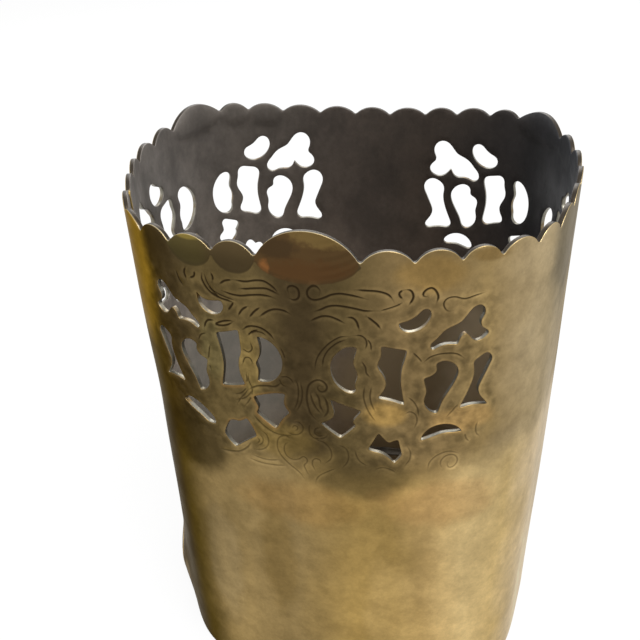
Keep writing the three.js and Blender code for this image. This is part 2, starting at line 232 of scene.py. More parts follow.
# Chased lines, as [across, drop]: a firm cut, then a light one
FIRM_LINES = (
    # Curls either side of the middle, running out to the right and left
    ((2.1, 4.3), (2.2, 3.6), (1.7, 3.1), (1.0, 3.2), (0.5, 3.9), (0.6, 4.7), (1.2, 5.1), (2.0, 5.0),
     (2.9, 4.6), (3.7, 4.2), (4.8, 4.0), (6.2, 4.2), (7.4, 4.5), (8.4, 4.8)),
    ((-2.1, 4.2), (-2.1, 3.6), (-1.5, 3.3), (-0.8, 3.6), (-0.6, 4.4), (-0.8, 5.1), (-1.4, 5.4), (-2.0, 5.2)),
    ((6.9, 3.4), (8.2, 3.5), (9.5, 3.6), (10.6, 3.9), (11.2, 4.3), (11.6, 4.9)),
    ((1.2, 6.9), (2.2, 6.5), (3.1, 6.0), (4.1, 5.8), (5.3, 5.9), (6.8, 6.2), (8.0, 6.5), (9.3, 6.5)),
    ((0.7, 8.4), (1.5, 7.9), (2.4, 7.5), (3.4, 7.5), (4.4, 7.9), (5.3, 8.4)),
    ((5.7, 7.5), (6.4, 7.6), (6.9, 8.2), (7.2, 9.3)),
    ((8.3, 7.4), (9.0, 8.0), (9.6, 8.6), (10.0, 9.2)),
    ((12.8, 3.5), (12.4, 3.9), (12.5, 4.4), (12.8, 4.7)),
    ((13.3, 3.4), (13.9, 3.6), (14.2, 4.3), (14.1, 4.9), (13.7, 5.6)),
    ((16.0, 4.5), (15.5, 4.4), (15.5, 3.9), (16.0, 3.4), (16.6, 3.3), (17.1, 3.8), (17.4, 4.6), (17.2, 5.5)),
    ((-4.0, 5.5), (-4.9, 5.3), (-6.2, 5.3), (-7.8, 5.6), (-9.1, 5.9), (-10.5, 5.9), (-12.0, 5.6)),
    ((-3.4, 4.9), (-4.2, 4.5), (-5.2, 4.2), (-6.2, 4.3), (-7.3, 4.5), (-8.2, 4.7), (-9.2, 4.8)),
    ((-3.5, 4.7), (-4.0, 4.0), (-4.8, 3.4), (-5.6, 3.1), (-6.7, 3.2), (-8.2, 3.6), (-9.9, 3.6)),
    ((-10.3, 3.7), (-11.3, 4.0), (-12.1, 4.6)),
    ((-14.8, 3.4), (-14.9, 4.4), (-14.4, 5.5), (-13.6, 6.3), (-12.4, 6.8), (-11.2, 7.0), (-10.2, 7.2)),
    ((-2.0, 7.6), (-3.0, 7.2), (-4.2, 7.2), (-5.3, 7.7), (-6.5, 8.7)),
    ((-6.4, 7.3), (-7.2, 8.0), (-8.0, 9.0)),
    ((-8.2, 7.4), (-9.0, 8.0), (-9.7, 9.0)),
    ((-10.3, 7.2), (-10.7, 7.8), (-11.2, 8.5)),
    ((-9.3, 11.3), (-8.4, 10.6), (-7.3, 10.4), (-6.2, 10.6), (-5.2, 11.3), (-4.6, 12.1)),
    ((-8.5, 12.0), (-7.9, 11.4), (-7.0, 10.9)),
    ((-10.6, 10.2), (-11.6, 10.3), (-12.7, 10.7), (-13.6, 11.3), (-12.6, 11.3), (-11.5, 10.9), (-10.7, 10.3)),
    ((-15.6, 12.3), (-15.3, 11.5), (-14.8, 10.9), (-13.9, 10.7)),
    ((-17.5, 3.2), (-17.8, 3.9), (-17.6, 4.8)),
    ((-16.0, 3.5), (-16.2, 4.2), (-16.9, 4.6)),
    ((-13.3, 3.2), (-13.1, 3.8), (-13.2, 4.3)),
    ((-9.3, 21.5), (-8.0, 20.6), (-6.5, 20.2), (-5.0, 20.0), (-4.1, 19.2)),
    ((-10.4, 18.6), (-10.1, 20.0), (-10.3, 21.3), (-11.1, 22.0)),
    # Under the arrow and the star
    ((-9.0, 26.0), (-7.8, 27.4), (-6.2, 28.5), (-4.6, 28.8), (-3.2, 28.6)),
    ((-15.4, 34.6), (-13.6, 34.4), (-12.0, 33.9), (-10.7, 32.8), (-9.9, 31.6)),
    # Scroll and leaf left of the arrow
    ((1.9, 18.9), (1.4, 18.9), (1.3, 19.5), (1.8, 19.9), (2.4, 19.6), (2.6, 18.9), (2.2, 18.2), (1.5, 17.9),
     (0.7, 18.2), (0.0, 19.0), (-0.3, 20.2), (-0.4, 21.5), (-0.2, 23.0), (0.2, 24.2), (1.1, 25.1)),
    ((0.2, 20.4), (0.4, 21.6), (0.9, 22.8), (1.5, 23.6)),
    ((1.0, 20.2), (1.4, 21.2), (1.5, 22.4), (1.9, 23.3)),
    ((2.2, 20.8), (2.5, 21.8), (2.6, 23.2), (2.0, 24.3)),
)
LIGHT_LINES = (
    ((-14.4, 3.2), (-14.2, 4.5), (-13.5, 5.7), (-12.3, 6.3), (-11.0, 6.6), (-9.8, 6.8)),
    ((-8.2, 11.8), (-7.4, 11.3), (-6.5, 11.2), (-5.7, 11.6)),
    ((-10.1, 12.8), (-9.7, 14.2), (-8.8, 14.9), (-8.1, 14.2), (-8.3, 13.1)),
    ((-9.9, 17.2), (-9.4, 16.0), (-8.6, 15.9), (-8.2, 16.8)),
    ((-9.4, 18.4), (-9.5, 20.2), (-9.9, 21.6), (-10.9, 22.6), (-12.0, 22.8)),
    ((-8.7, 21.4), (-9.4, 22.5), (-10.4, 23.4), (-11.6, 23.9)),
    ((-1.2, 18.6), (-1.0, 20.4), (-1.3, 22.2), (-2.0, 23.8)),
    ((-8.8, 30.2), (-8.4, 30.8), (-8.8, 31.4)),
    ((-10.6, 34.8), (-8.4, 35.2), (-5.8, 35.0), (-4.2, 34.6)),
    ((5.6, 10.9), (4.2, 11.6), (3.0, 12.8), (2.3, 14.2), (2.1, 15.8)),
    ((15.8, 14.7), (16.8, 13.8), (18.4, 13.4), (20.2, 13.6), (21.4, 14.5)),
    ((17.0, 33.8), (17.3, 32.4), (18.4, 31.2), (20.0, 30.7), (21.6, 31.3)),
    ((13.8, 20.4), (14.6, 21.2), (15.2, 22.4), (15.4, 23.8)),
    ((4.0, 29.2), (5.0, 29.8), (5.4, 31.0), (5.2, 32.4), (4.4, 33.6)),
    ((13.9, 29.2), (14.4, 30.4), (14.3, 31.8), (13.6, 33.0)),
    ((21.4, 21.0), (21.0, 22.0), (20.2, 23.2), (19.4, 24.2)),
    ((19.4, 6.8), (18.7, 6.8), (18.2, 6.1), (18.2, 5.4), (18.7, 4.9), (19.6, 4.8), (20.9, 5.2), (22.3, 4.9),
     (23.8, 4.6)),
    ((10.0, 6.5), (11.2, 6.1), (12.2, 5.7), (12.8, 5.3)),
    ((6.0, 10.4), (4.7, 10.6), (3.6, 11.3), (2.6, 12.3), (1.7, 13.6), (1.2, 14.9), (1.0, 16.3)),
    ((6.6, 10.3), (7.4, 10.3), (8.0, 10.8), (8.2, 11.6), (8.0, 12.4)),
    ((7.5, 14.4), (8.0, 15.4), (8.1, 16.3), (8.6, 17.0)),
    ((7.9, 18.4), (7.7, 20.0), (7.9, 21.5), (8.5, 23.2), (9.4, 24.7)),
    ((8.8, 18.6), (8.6, 20.2), (8.8, 21.6), (9.3, 22.9)),
    ((14.4, 13.1), (15.1, 13.9), (15.6, 14.6)),
    ((8.3, 10.9), (8.7, 11.6), (8.8, 12.6)),
    ((0.0, 25.7), (-0.3, 26.6), (-0.2, 27.7), (0.4, 28.4), (1.3, 28.4), (2.2, 27.9), (2.5, 27.2)),
    ((1.4, 26.3), (0.7, 26.6), (0.5, 27.4), (1.1, 27.9), (1.9, 27.6)),
    ((0.7, 28.6), (1.8, 29.0), (2.6, 29.9), (2.9, 31.0), (2.7, 32.1), (1.8, 33.0)),
    ((6.4, 30.2), (6.6, 31.2), (7.1, 32.2), (8.0, 32.9)),
    ((9.4, 33.6), (10.3, 33.3), (11.4, 33.6), (12.4, 34.3)),
    ((22.3, 27.8), (22.5, 28.6), (23.0, 29.3)),
    ((24.1, 26.0), (23.9, 27.0), (24.1, 28.1), (24.6, 28.7)),
    ((19.3, 33.9), (18.9, 33.1), (19.0, 32.2), (19.7, 31.5), (20.6, 31.4), (21.3, 32.0), (21.4, 32.9),
     (20.9, 33.7), (20.2, 33.8), (19.9, 33.1), (20.2, 32.6)),
    ((13.4, 23.4), (14.2, 23.0), (15.0, 23.6), (15.2, 24.8), (14.8, 26.0)),
    ((-3.0, 29.1), (-4.2, 28.9), (-5.1, 29.4), (-5.5, 30.6), (-5.4, 32.0), (-4.7, 33.3), (-3.6, 34.4),
     (-2.4, 35.4), (-1.7, 36.3), (-1.4, 36.9)),
    ((-3.2, 30.0), (-4.0, 30.2), (-4.4, 31.0), (-4.4, 32.0), (-4.0, 32.8), (-3.2, 33.2), (-2.2, 32.9),
     (-1.5, 32.3), (-1.0, 32.5), (-0.9, 33.2), (-1.4, 34.0), (-1.1, 35.0), (-0.6, 36.1)),
    ((3.4, 33.8), (2.3, 34.5), (1.1, 35.4), (0.5, 36.2), (0.3, 36.9)),
    ((1.2, 33.2), (1.1, 32.5), (0.5, 32.3), (0.0, 32.7), (-0.1, 33.6), (0.3, 34.6)),
    ((-3.9, 13.0), (-3.4, 14.2), (-3.2, 15.6), (-3.4, 17.2), (-3.9, 18.0)),
    ((-2.2, 19.0), (-2.6, 18.3), (-3.3, 18.0), (-4.0, 18.3), (-4.2, 19.0), (-3.8, 19.6), (-3.1, 19.6)),
    ((-1.9, 18.2), (-1.6, 19.3), (-1.6, 20.8), (-1.9, 22.4), (-2.4, 23.6)),
    ((-2.7, 26.0), (-1.9, 25.8), (-1.3, 26.4), (-1.3, 27.3), (-2.0, 28.1), (-3.0, 28.3), (-3.7, 27.9)),
    ((-2.9, 27.2), (-2.6, 26.6), (-2.1, 26.7), (-2.1, 27.2), (-2.5, 27.5)),
    ((-9.0, 18.4), (-9.2, 19.8), (-8.8, 21.0), (-8.9, 22.2), (-9.5, 23.6), (-10.4, 24.8)),
    ((-9.4, 21.4), (-10.0, 22.4), (-10.8, 23.4), (-11.5, 24.6)),
    ((-8.0, 28.7), (-7.2, 29.3), (-6.9, 30.4), (-7.2, 31.6), (-8.2, 32.5), (-9.6, 32.8)),
    ((-8.3, 29.5), (-7.8, 30.3), (-8.0, 31.2), (-8.8, 31.9)),
    ((-9.8, 34.0), (-8.2, 34.3), (-6.7, 34.2), (-5.4, 33.8)),
    ((-16.9, 14.6), (-16.4, 13.7), (-15.5, 13.2)),
    ((-19.2, 4.0), (-18.9, 5.2), (-18.3, 6.1)),
    ((-14.0, 5.3), (-13.4, 6.0), (-12.6, 6.5)),
    ((-14.9, 14.8), (-15.3, 16.2), (-15.6, 18.0), (-15.3, 19.8)),
)

# A light line's depth against a firm one's, and how far lines stay clear of the openings
LIGHT_DEPTH = 0.68
CLEAR_OF_OPENINGS = 0.55

# How far a panel's close points reach either side of its middle line and below the notches,
# how far its openings and its marks do, and how far below the notches the rim's points reach
PANEL_REACH = 27
PANEL_DEPTH = 38
OPENINGS_REACH = 30
MARKS_DEPTH = 40
RIM_DEPTH = 4.5

# How far from an opening its edge is still felt, and spacings of the sheet's own edge
BORDER_REACH = 4.0
FOOT_STEP = 0.9
SEAM_STEPS = 70

# Steps between the points on each face: plain wall, panels, rim
OUTSIDE_STEPS = (1.0, 0.5, 0.5)
INSIDE_STEPS = (1.6, 1.6, 0.8)

# Unevenness along the two joints, as (rate, start, size)
SEAM_WAVES = ((0.9, 0, 0.4), (2.3, 1, 0.35), (5.1, 2, 0.25))
SOLDER_WAVES = ((19, 0, 0.5), (43, 1, 0.3), (71, 2, 0.2))


# Properties

def length(name, millimetres, description):
    return bpy.props.FloatProperty(name=name, description=description, default=millimetres * MM,
                                   unit="LENGTH", precision=5)


def angle(name, degrees, description):
    return bpy.props.FloatProperty(name=name, description=description,
                                   default=math.radians(degrees), subtype="ANGLE")


def colour(name, default, description):
    return bpy.props.FloatVectorProperty(name=name, description=description, default=default,
                                         size=4, min=0, max=1, subtype="COLOR")


def tone(red, green, blue):
    """A colour given as it looks on a screen, from 0 to 255, as Blender's linear colour."""
    shares = [value / 255 for value in (red, green, blue)]
    return tuple(s / 12.92 if s <= 0.04045 else ((s + 0.055) / 1.055) ** 2.4 for s in shares) + (1.0,)


class PlanSizes(bpy.types.PropertyGroup):
    """The sleeve's outside in plan, as waves on a circle."""

    mean_radius: length("Mean Radius", 37.0, "Radius that the waves are added to")
    oval_wave: length("Oval", 1.8, "How far two opposite sides stand out")
    oval_angle: angle("Oval Direction", -5.2, "Direction of one of those sides")
    egg_wave: length("Egg", 1.4, "How far one of three sides stands out")
    egg_angle: angle("Egg Direction", 36.2, "Direction of one of those sides")
    corner_wave: length("Corners", 2.05, "How far the four corners stand out")
    corner_angle: angle("Corner Direction", 49.2, "Direction of one corner")
    flattening_wave: length("Flattening", 0.34, "How far the sides are straightened")
    front_angle: angle("Front Direction", -87.7, "Direction of the front panel's middle line")


class SheetSizes(bpy.types.PropertyGroup):
    """The sheet, and how it was sawn, filed, chased and bent."""

    notch_height: length("Notch Height", 88.3, "From the foot to the notches between scallops")
    thickness: length("Thickness", 0.8, "Gauge of the sheet")
    large_scallop: length("Large Scallop Width", 14.0, "Width between its notches")
    large_slip: length("Large Scallop Slip", 0.4, "How far it stands off its panel's middle line")
    seam_width: length("Seam Width", 0.8, "Gap between the strip's ends")
    edge_round: length("Edge Rounding", 0.1, "How far the edges are filed round")
    chase_width: length("Chased Width", 0.48, "Width of a firm chased line")
    chase_depth: length("Chased Depth", 0.14, "Depth of a firm chased line")
    chase_lip: length("Chased Lip", 0.05, "Height of the lip that the chasing raises beside a line")
    dish_small: length("Small Dish", 0.3, "Depth of the hollow in the two scallops left of a large one")
    dish_large: length("Large Dish", 0.5, "Depth of the hollow in a large scallop")
    dish_foot_small: length("Small Dish Foot", 2.8, "How far a small dish reaches below the notches")
    dish_foot_large: length("Large Dish Foot", 3.1, "How far a large dish reaches below the notches")
    sway: length("Sway", 0.12, "Unevenness left by bending by hand")
    bends: bpy.props.FloatProperty(name="Bends", description="Share of the knock and the drawn-in sides",
                                   default=1.0)


class FloorSizes(bpy.types.PropertyGroup):
    """The floor plate and the solder round it."""

    plate_gap: length("Plate Gap", 0.1, "Between the wall and the plate")
    plate_round: length("Plate Rounding", 0.15, "How far the plate's edge is filed round")
    fillet: length("Solder Fillet", 1.5, "Leg of the solder's section")


class Finishes(bpy.types.PropertyGroup):
    """Main colours of the metal."""

    chased_dark: colour("Chased Lines", tone(46, 36, 22), "What sits in the chased lines")
    # The dark patina's tone, also used as painted shade below the panels, round the openings and in the
    # creases at the dishes' feet
    soot: colour("Dark Patina", tone(62, 52, 34), "Clouds of dark patina below the panels")
    copper: colour("Copper Patina", tone(86, 61, 36), "Reddish patina of the large scallops")
    bright: colour("Worn Edge", tone(214, 190, 138), "Edges rubbed bright")
    sawn: colour("Sawn Edge", tone(158, 154, 140), "Cut thickness of the sheet")
    braze: colour("Braze", tone(183, 154, 85), "Filed brazing metal")
    plate: colour("Floor Plate", tone(122, 104, 76), "Oxidised floor plate")
    solder: colour("Solder", tone(66, 58, 45), "Dull soft solder")


class StageSizes(bpy.types.PropertyGroup):
    """Camera, floor and light."""

    camera_x: length("Camera X", 27.03, "Right of the sleeve's middle")
    camera_y: length("Camera Y", -116.86, "Behind the sleeve's middle")
    camera_z: length("Camera Z", 132.15, "Over the floor")
    turn: angle("Camera Turn", 15.469, "How far it looks round to the left")
    tilt: angle("Camera Tilt", 31.109, "How far it looks down")
    roll: angle("Camera Roll", -2.566, "Turn of the picture")
    lens: bpy.props.FloatProperty(name="Lens", description="Focal length on a 36 mm sensor",
                                  default=42.97, unit="CAMERA")
    floor_width: length("Floor Width", 6000.0, "Width of the pale floor")


class Millimetres:
    """A property group read with its lengths in millimetres."""

    def __init__(self, group):
        self.group = group

    def __getattr__(self, name):
        value = getattr(self.group, name)
        return value / MM if self.group.bl_rna.properties[name].unit == "LENGTH" else value


# Curves in the sheet

def through(points, closed=False, per_span=8):
    """Points on a smooth curve through the given ones."""
    p = np.asarray(points, float)
    if closed:
        p = np.vstack([p[-1], p, p[:2]])
    else:
        p = np.vstack([2 * p[0] - p[1], p, 2 * p[-1] - p[-2]])
    t = (np.arange(per_span) / per_span)[:, None]
    rows = []
    for a, b, c, d in zip(p[:-3], p[1:-2], p[2:-1], p[3:]):
        rows.append(0.5 * (2 * b + (c - a) * t + (2 * a - 5 * b + 4 * c - d) * t**2
                           + (3 * b - a - 3 * c + d) * t**3))
    if not closed:
        rows.append(p[-2][None])
    return np.vstack(rows)


def evenly(points, spacing, closed=False):
    """The same curve with its points a given distance apart."""
    p = np.vstack([points, points[:1]]) if closed else points
    run = np.concatenate([[0], np.cumsum(np.hypot(*np.diff(p, axis=0).T))])
    count = max(3, int(round(run[-1] / spacing)))
    at = np.linspace(0, run[-1], count + 1)
    even = np.column_stack([np.interp(at, run, p[:, 0]), np.interp(at, run, p[:, 1])])
    return even[:-1] if closed else even


def softened(loop, passes):
    """A closed loop with its corners eased."""
    for _ in range(passes):
        loop = (np.roll(loop, 1, 0) + 2 * loop + np.roll(loop, -1, 0)) / 4
    return loop


def turned_left(loop):
    """A closed loop listed anticlockwise."""
    x, y = loop.T
    area = np.sum(x * np.roll(y, -1) - np.roll(x, -1) * y)
    return loop if area > 0 else loop[::-1]


def loop_normals(loop):
    """Unit normals pointing out of an anticlockwise loop."""
    ahead = np.roll(loop, -1, 0) - loop
    ahead /= np.hypot(*ahead.T)[:, None] + 1e-12
    along = ahead + np.roll(ahead, 1, 0)
    along /= np.hypot(*along.T)[:, None] + 1e-12
    return np.column_stack([along[:, 1], -along[:, 0]])


def is_inside(loop, points):
    """Which points lie inside a closed loop."""
    hit = np.zeros(len(points), bool)
    low, high = loop.min(0), loop.max(0)
    near = np.where(((points > low) & (points < high)).all(1))[0]
    x, y = points[near].T
    odd = np.zeros(len(near), bool)
    for (x0, y0), (x1, y1) in zip(loop, np.roll(loop, -1, 0)):
        if y0 == y1:
            continue
        crosses = (y0 > y) != (y1 > y)
        odd ^= crosses & (x < x0 + (y - y0) * (x1 - x0) / (y1 - y0))
    hit[near] = odd
    return hit


# The wall

class Wall:
    """The sleeve's plan, measured along the outside from the front panel's middle line."""

    STEPS = 5760

    def __init__(self, plan, sheet):
        self.plan = plan
        self.sheet = sheet
        turn = plan.front_angle + np.linspace(0, 2 * math.pi, self.STEPS + 1)
        radius = self.radius(turn)
        points = np.column_stack([radius * np.cos(turn), radius * np.sin(turn)])
        self.points = points - (points.max(0) + points.min(0)) / 2
        self.run = np.concatenate([[0], np.cumsum(np.hypot(*np.diff(self.points, axis=0).T))])
        self.girth = self.run[-1]
        tangent = np.roll(self.points[:-1], -1, 0) - np.roll(self.points[:-1], 1, 0)
        tangent /= np.hypot(*tangent.T)[:, None]
        self.outward = np.column_stack([tangent[:, 1], -tangent[:, 0]])
        self.outward = np.vstack([self.outward, self.outward[:1]])
        self.middles = [i * self.girth / len(PANELS) + panel[1] for i, panel in enumerate(PANELS)]
        self.seam = (self.middles[2] + self.girth) / 2
        self.scallops = self.lay_out_scallops()

    def radius(self, turn):
        p = self.plan
        return (p.mean_radius
                + p.oval_wave * np.cos(2 * (turn - p.oval_angle))
                + p.egg_wave * np.cos(3 * (turn - p.egg_angle))
                + p.corner_wave * np.cos(4 * (turn - p.corner_angle))
                + p.flattening_wave * np.cos(8 * (turn - p.corner_angle)))

    def place(self, along, height, depth):
        """Where a point of the wall is, in metres."""
        at = np.mod(along, self.girth)
        x = np.interp(at, self.run, self.points[:, 0])
        y = np.interp(at, self.run, self.points[:, 1])
        out_x = np.interp(at, self.run, self.outward[:, 0])
        out_y = np.interp(at, self.run, self.outward[:, 1])
        return np.column_stack([x - out_x * depth, y - out_y * depth, height]) * MM

    def lay_out_scallops(self):
        """Each scallop as (from, to, height, depth of its dish, reach of the dish below the notches)."""
        s = self.sheet
        half = s.large_scallop / 2
        rows = []
        for side, (height, widths) in enumerate(SCALLOPS):
            middle = self.middles[side] + s.large_slip
            following = self.middles[side + 1] if side < 2 else self.girth
            rows.append((middle - half, middle + half, PANELS[side][5], s.dish_large, s.dish_foot_large))
            edges = middle + half + np.concatenate([[0], np.cumsum(widths)]) * (
                (following + s.large_slip - half - middle - half) / sum(widths))
            for index, (a, b) in enumerate(zip(edges[:-1], edges[1:])):
                beside = index >= len(widths) - 2
                rows.append((a, b, height, s.dish_small if beside else 0.0, s.dish_foot_small))
        return np.array(rows)

    def scallop_at(self, along):
        """For each place along the rim: its scallop's half width, height, the way from its middle,
        its dish's depth and how far the dish reaches below the notches."""
        first = self.scallops[0, 0]
        at = first + np.mod(along - first, self.girth)
        which = np.clip(np.searchsorted(self.scallops[:, 0], at, side="right") - 1, 0, len(self.scallops) - 1)
        start, end, height, deep, foot = self.scallops[which].T
        return (end - start) / 2, height, at - (start + end) / 2, deep, foot

    def notch(self, along):
        """Height of the notches, as it would be at any place along the rim."""
        at = np.mod(along, self.girth)
        waves = [rise * np.exp(-((at - middle) / reach)**2) for middle, reach, rise in NOTCH_WAVES]
        return self.sheet.notch_height + sum(waves)

    def rim(self, along):
        """Height of the rim: each scallop is the arc of a circle through its notches."""
        half, height, off, _, _ = self.scallop_at(along)
        radius = (half**2 + height**2) / (2 * height)
        rise = np.sqrt(np.maximum(0, radius**2 - off**2)) - (radius - height)
        return self.notch(along) + np.maximum(0, rise)

    def dish(self, along, height):
        """How far the sheet is hollowed inside each scallop, from its rim down to an arc below it."""
        half, _, off, deep, below = self.scallop_at(along)
        rim = self.rim(along)
        share = np.sqrt(np.clip(1 - (off / half)**2, 0, 1))
        foot = self.notch(along) - below * share
        part = np.clip((height - foot) / (rim - foot + 1e-6), 0, 1)
        return deep * np.sin(np.pi * part**0.6) ** 0.7 * share

    def lens(self, along, height):
        """How far a point is above the foot of its scallop's dish, and how deep that dish is."""
        half, _, off, deep, below = self.scallop_at(along)
        share = np.sqrt(np.clip(1 - (off / half)**2, 0, 1))
        return height - self.notch(along) + below * share, deep / self.sheet.dish_large

    def way_round(self, off):
        """The same way along the wall, taken the shorter way round."""
        return np.mod(off + self.girth / 2, self.girth) - self.girth / 2

    def across(self, along):
        """Way round from the nearest panel's middle line."""
        off = self.way_round(np.asarray(along)[:, None] - np.array(self.middles)[None])
        return off[np.arange(len(off)), np.argmin(np.abs(off), axis=1)]

    def sway(self, along, height):
        """The long soft unevenness of a wall bent by hand."""
        turn = 2 * math.pi * along / self.girth
        up = height / self.sheet.notch_height
        soft = self.sheet.sway * (
            0.5 * np.sin(5 * turn + 2.1 * up + 0.4) * np.sin(2.3 * up + 1.0)
            + 0.3 * np.sin(9 * turn - 5.2 * up + 1.7)
            + 0.2 * np.sin(17 * turn + 9.0 * up + 0.9) * np.cos(11 * up))
        for middle, reach, level, tall, outward in BENDS:
            away = self.way_round(along - middle)
            fade = np.exp(-(away / reach)**2 - ((height - level) / tall)**2)
            soft = soft + self.sheet.bends * outward * fade
        return soft


def drawn_outline(name, side, is_front):
    """An opening as it was drawn, in smooth stretches, right (1) or left (-1) of the middle line."""
    right = RIGHT_OPENINGS[name]
    if side > 0:
        return right
    if is_front and name in LEFT_OPENINGS:
        return LEFT_OPENINGS[name]
    slip = LEFT_SLIPS[name]
    return [[(-(a + slip[0]), d + slip[1]) for a, d in part] for part in right]


def opening_loops(wall, spacing=0.22, passes=3):
    """Every opening's outline, anticlockwise, as (along, height)."""
    loops = []
    for index, (panel, _, shift, rise, wider, _, stretch) in enumerate(PANELS):
        for name in RIGHT_OPENINGS:
            for side in (1, -1):
                parts = drawn_outline(name, side, index == 0)
                rough = [through(part + after[:1])[:-1] for part, after in zip(parts, parts[1:] + parts[:1])]
                loop = evenly(np.vstack(rough), spacing, closed=True) * (1, -1)
                loop = turned_left(softened(loop, passes))
                if wider:
                    loop = softened(loop + loop_normals(loop) * wider, 2 * passes)
                    middle = (loop.min(0) + loop.max(0)) / 2
                    loop = (loop - middle) * BACK_SIZES[name] + middle
                    outward, down = STRAYS.get((panel, side, name), (0.0, 0.0))
                    loop = loop * (stretch if side > 0 else 1.0, 1) + (side * outward + shift, -down)
                    loop = turned_left(evenly(loop, spacing, closed=True))
                up = rise if name in UPPER_ROW else 0.0
                loops.append(loop + (wall.middles[index], wall.sheet.notch_height + up))
    return loops


def sheet_outline(wall, spacing=0.3):
    """The sheet's own edge, anticlockwise: along the foot, up the seam, and back along the rim."""
    start = wall.seam - wall.girth + wall.sheet.seam_width / 2
    end = wall.seam - wall.sheet.seam_width / 2
    foot = np.linspace(start, end, int((end - start) / FOOT_STEP))
    foot = np.column_stack([foot, np.zeros(len(foot))])
    at = np.linspace(end, start, int((end - start) / spacing))
    rim = wall.rim(at)
    eased = np.convolve(np.pad(rim, 1, mode="edge"), [0.25, 0.5, 0.25], mode="valid")
    rim = np.column_stack([at, eased])
    up = np.linspace((end, 0), (end, rim[0, 1]), SEAM_STEPS)[1:-1]
    down = np.linspace((start, rim[-1, 1]), (start, 0), SEAM_STEPS)[1:-1]
    return np.vstack([foot, up, rim, down])


def chased_lines(wall, loops, spacing=0.26):
    """Each clear stretch of a chased line: its points, the way sideways, its widths and depths."""
    drawn = []
    for lines, weight in ((FIRM_LINES, 1.0), (LIGHT_LINES, LIGHT_DEPTH)):
        for line in lines:
            drawn.append((evenly(through(line), spacing), weight))
    rows = []
    for index in range(len(PANELS)):
        home = np.array([wall.middles[index], wall.sheet.notch_height])
        near = [loop for loop in loops if abs(loop[:, 0].mean() - home[0]) < OPENINGS_REACH]
        for line, weight in drawn:
            p = line * (1, -1) + home
            ends = np.linspace(0, 1, len(p))
            swell = np.clip(np.sin(math.pi * np.clip(ends * 0.96 + 0.02, 0, 1)) * 1.9, 0.25, 1.0)
            width = wall.sheet.chase_width * (0.55 + 0.45 * weight) * (0.6 + 0.4 * swell)
            depth = wall.sheet.chase_depth * weight * swell
            along = np.gradient(p, axis=0)
            along /= np.hypot(*along.T)[:, None] + 1e-9
            side = np.column_stack([-along[:, 1], along[:, 0]])
            clear = np.ones(len(p), bool)
            for loop in near:
                gap = np.min(np.hypot(*(p[:, None] - loop[None]).transpose(2, 0, 1)), axis=1)
                clear &= (gap > CLEAR_OF_OPENINGS) & ~is_inside(loop, p)
            for first, last in stretches_of(clear):
                cut = slice(first, last)
                rows.append((p[cut], side[cut], width[cut], depth[cut]))
    return rows


def stretches_of(mask, least=4):
    """Start and end of each run of true values."""
    edges = np.flatnonzero(np.diff(np.concatenate([[0], mask.astype(int), [0]])))
    return [(a, b) for a, b in zip(edges[::2], edges[1::2]) if b - a >= least]


class Points:
    """Points and edges of a flat drawing, before it is divided into triangles."""

    def __init__(self):
        self.at = []
        self.depths = []
        self.edges = []
        self.count = 0

    def scatter(self, points, depth=0.0):
        ids = list(range(self.count, self.count + len(points)))
        self.at.append(np.asarray(points, float))
        self.depths.append(np.full(len(points), depth))
        self.count += len(points)
        return ids

    def line(self, points, depth=0.0, closed=False):
        ids = self.scatter(points, depth)
        self.edges += zip(ids, ids[1:] + (ids[:1] if closed else []))
        return ids


def clear_of(points, others, reach):
    """The points that keep a distance from all the others."""
    tree = tree_of(others)
    return np.array([tree.find((x, y, 0))[2] > reach for x, y in points])


def filling_points(wall, outline, loops, special, steps):
    """Points spread over the sheet's face, closest in the panels and along the rim."""
    start, end = outline[:, 0].min(), outline[:, 0].max()
    top = wall.sheet.notch_height
    panel_foot, rim_foot = top - PANEL_DEPTH, top - RIM_DEPTH
    body_step, panel_step, rim_step = steps
    blocks = []
    for low, high, step, in_panel in (
        (1.0, panel_foot, 2 * body_step, None),
        (panel_foot + 0.5, rim_foot, body_step, False),
        (panel_foot + 0.5, rim_foot, panel_step, True),
        (rim_foot + 0.3, top + 5, rim_step, None),
    ):
        grid = np.stack(np.meshgrid(np.arange(start + 0.4, end - 0.2, step), np.arange(low, high, step)), -1)
        grid[1::2, :, 0] += step / 2
        grid = grid.reshape(-1, 2)
        if in_panel is not None:
            grid = grid[(np.abs(wall.across(grid[:, 0])) < PANEL_REACH) == in_panel]
        blocks.append(grid)
    grid = np.vstack(blocks)
    grid = grid[(grid[:, 0] < end - 0.2) & (grid[:, 1] < wall.rim(grid[:, 0]) - 0.35)]
    for loop in loops:
        grid = grid[~is_inside(loop, grid)]
    return grid[clear_of(grid, special, 0.3)]


def tree_of(points):
    tree = KDTree(len(points))
    for i, (x, y) in enumerate(points):
        tree.insert((x, y, 0), i)
    tree.balance()
    return tree


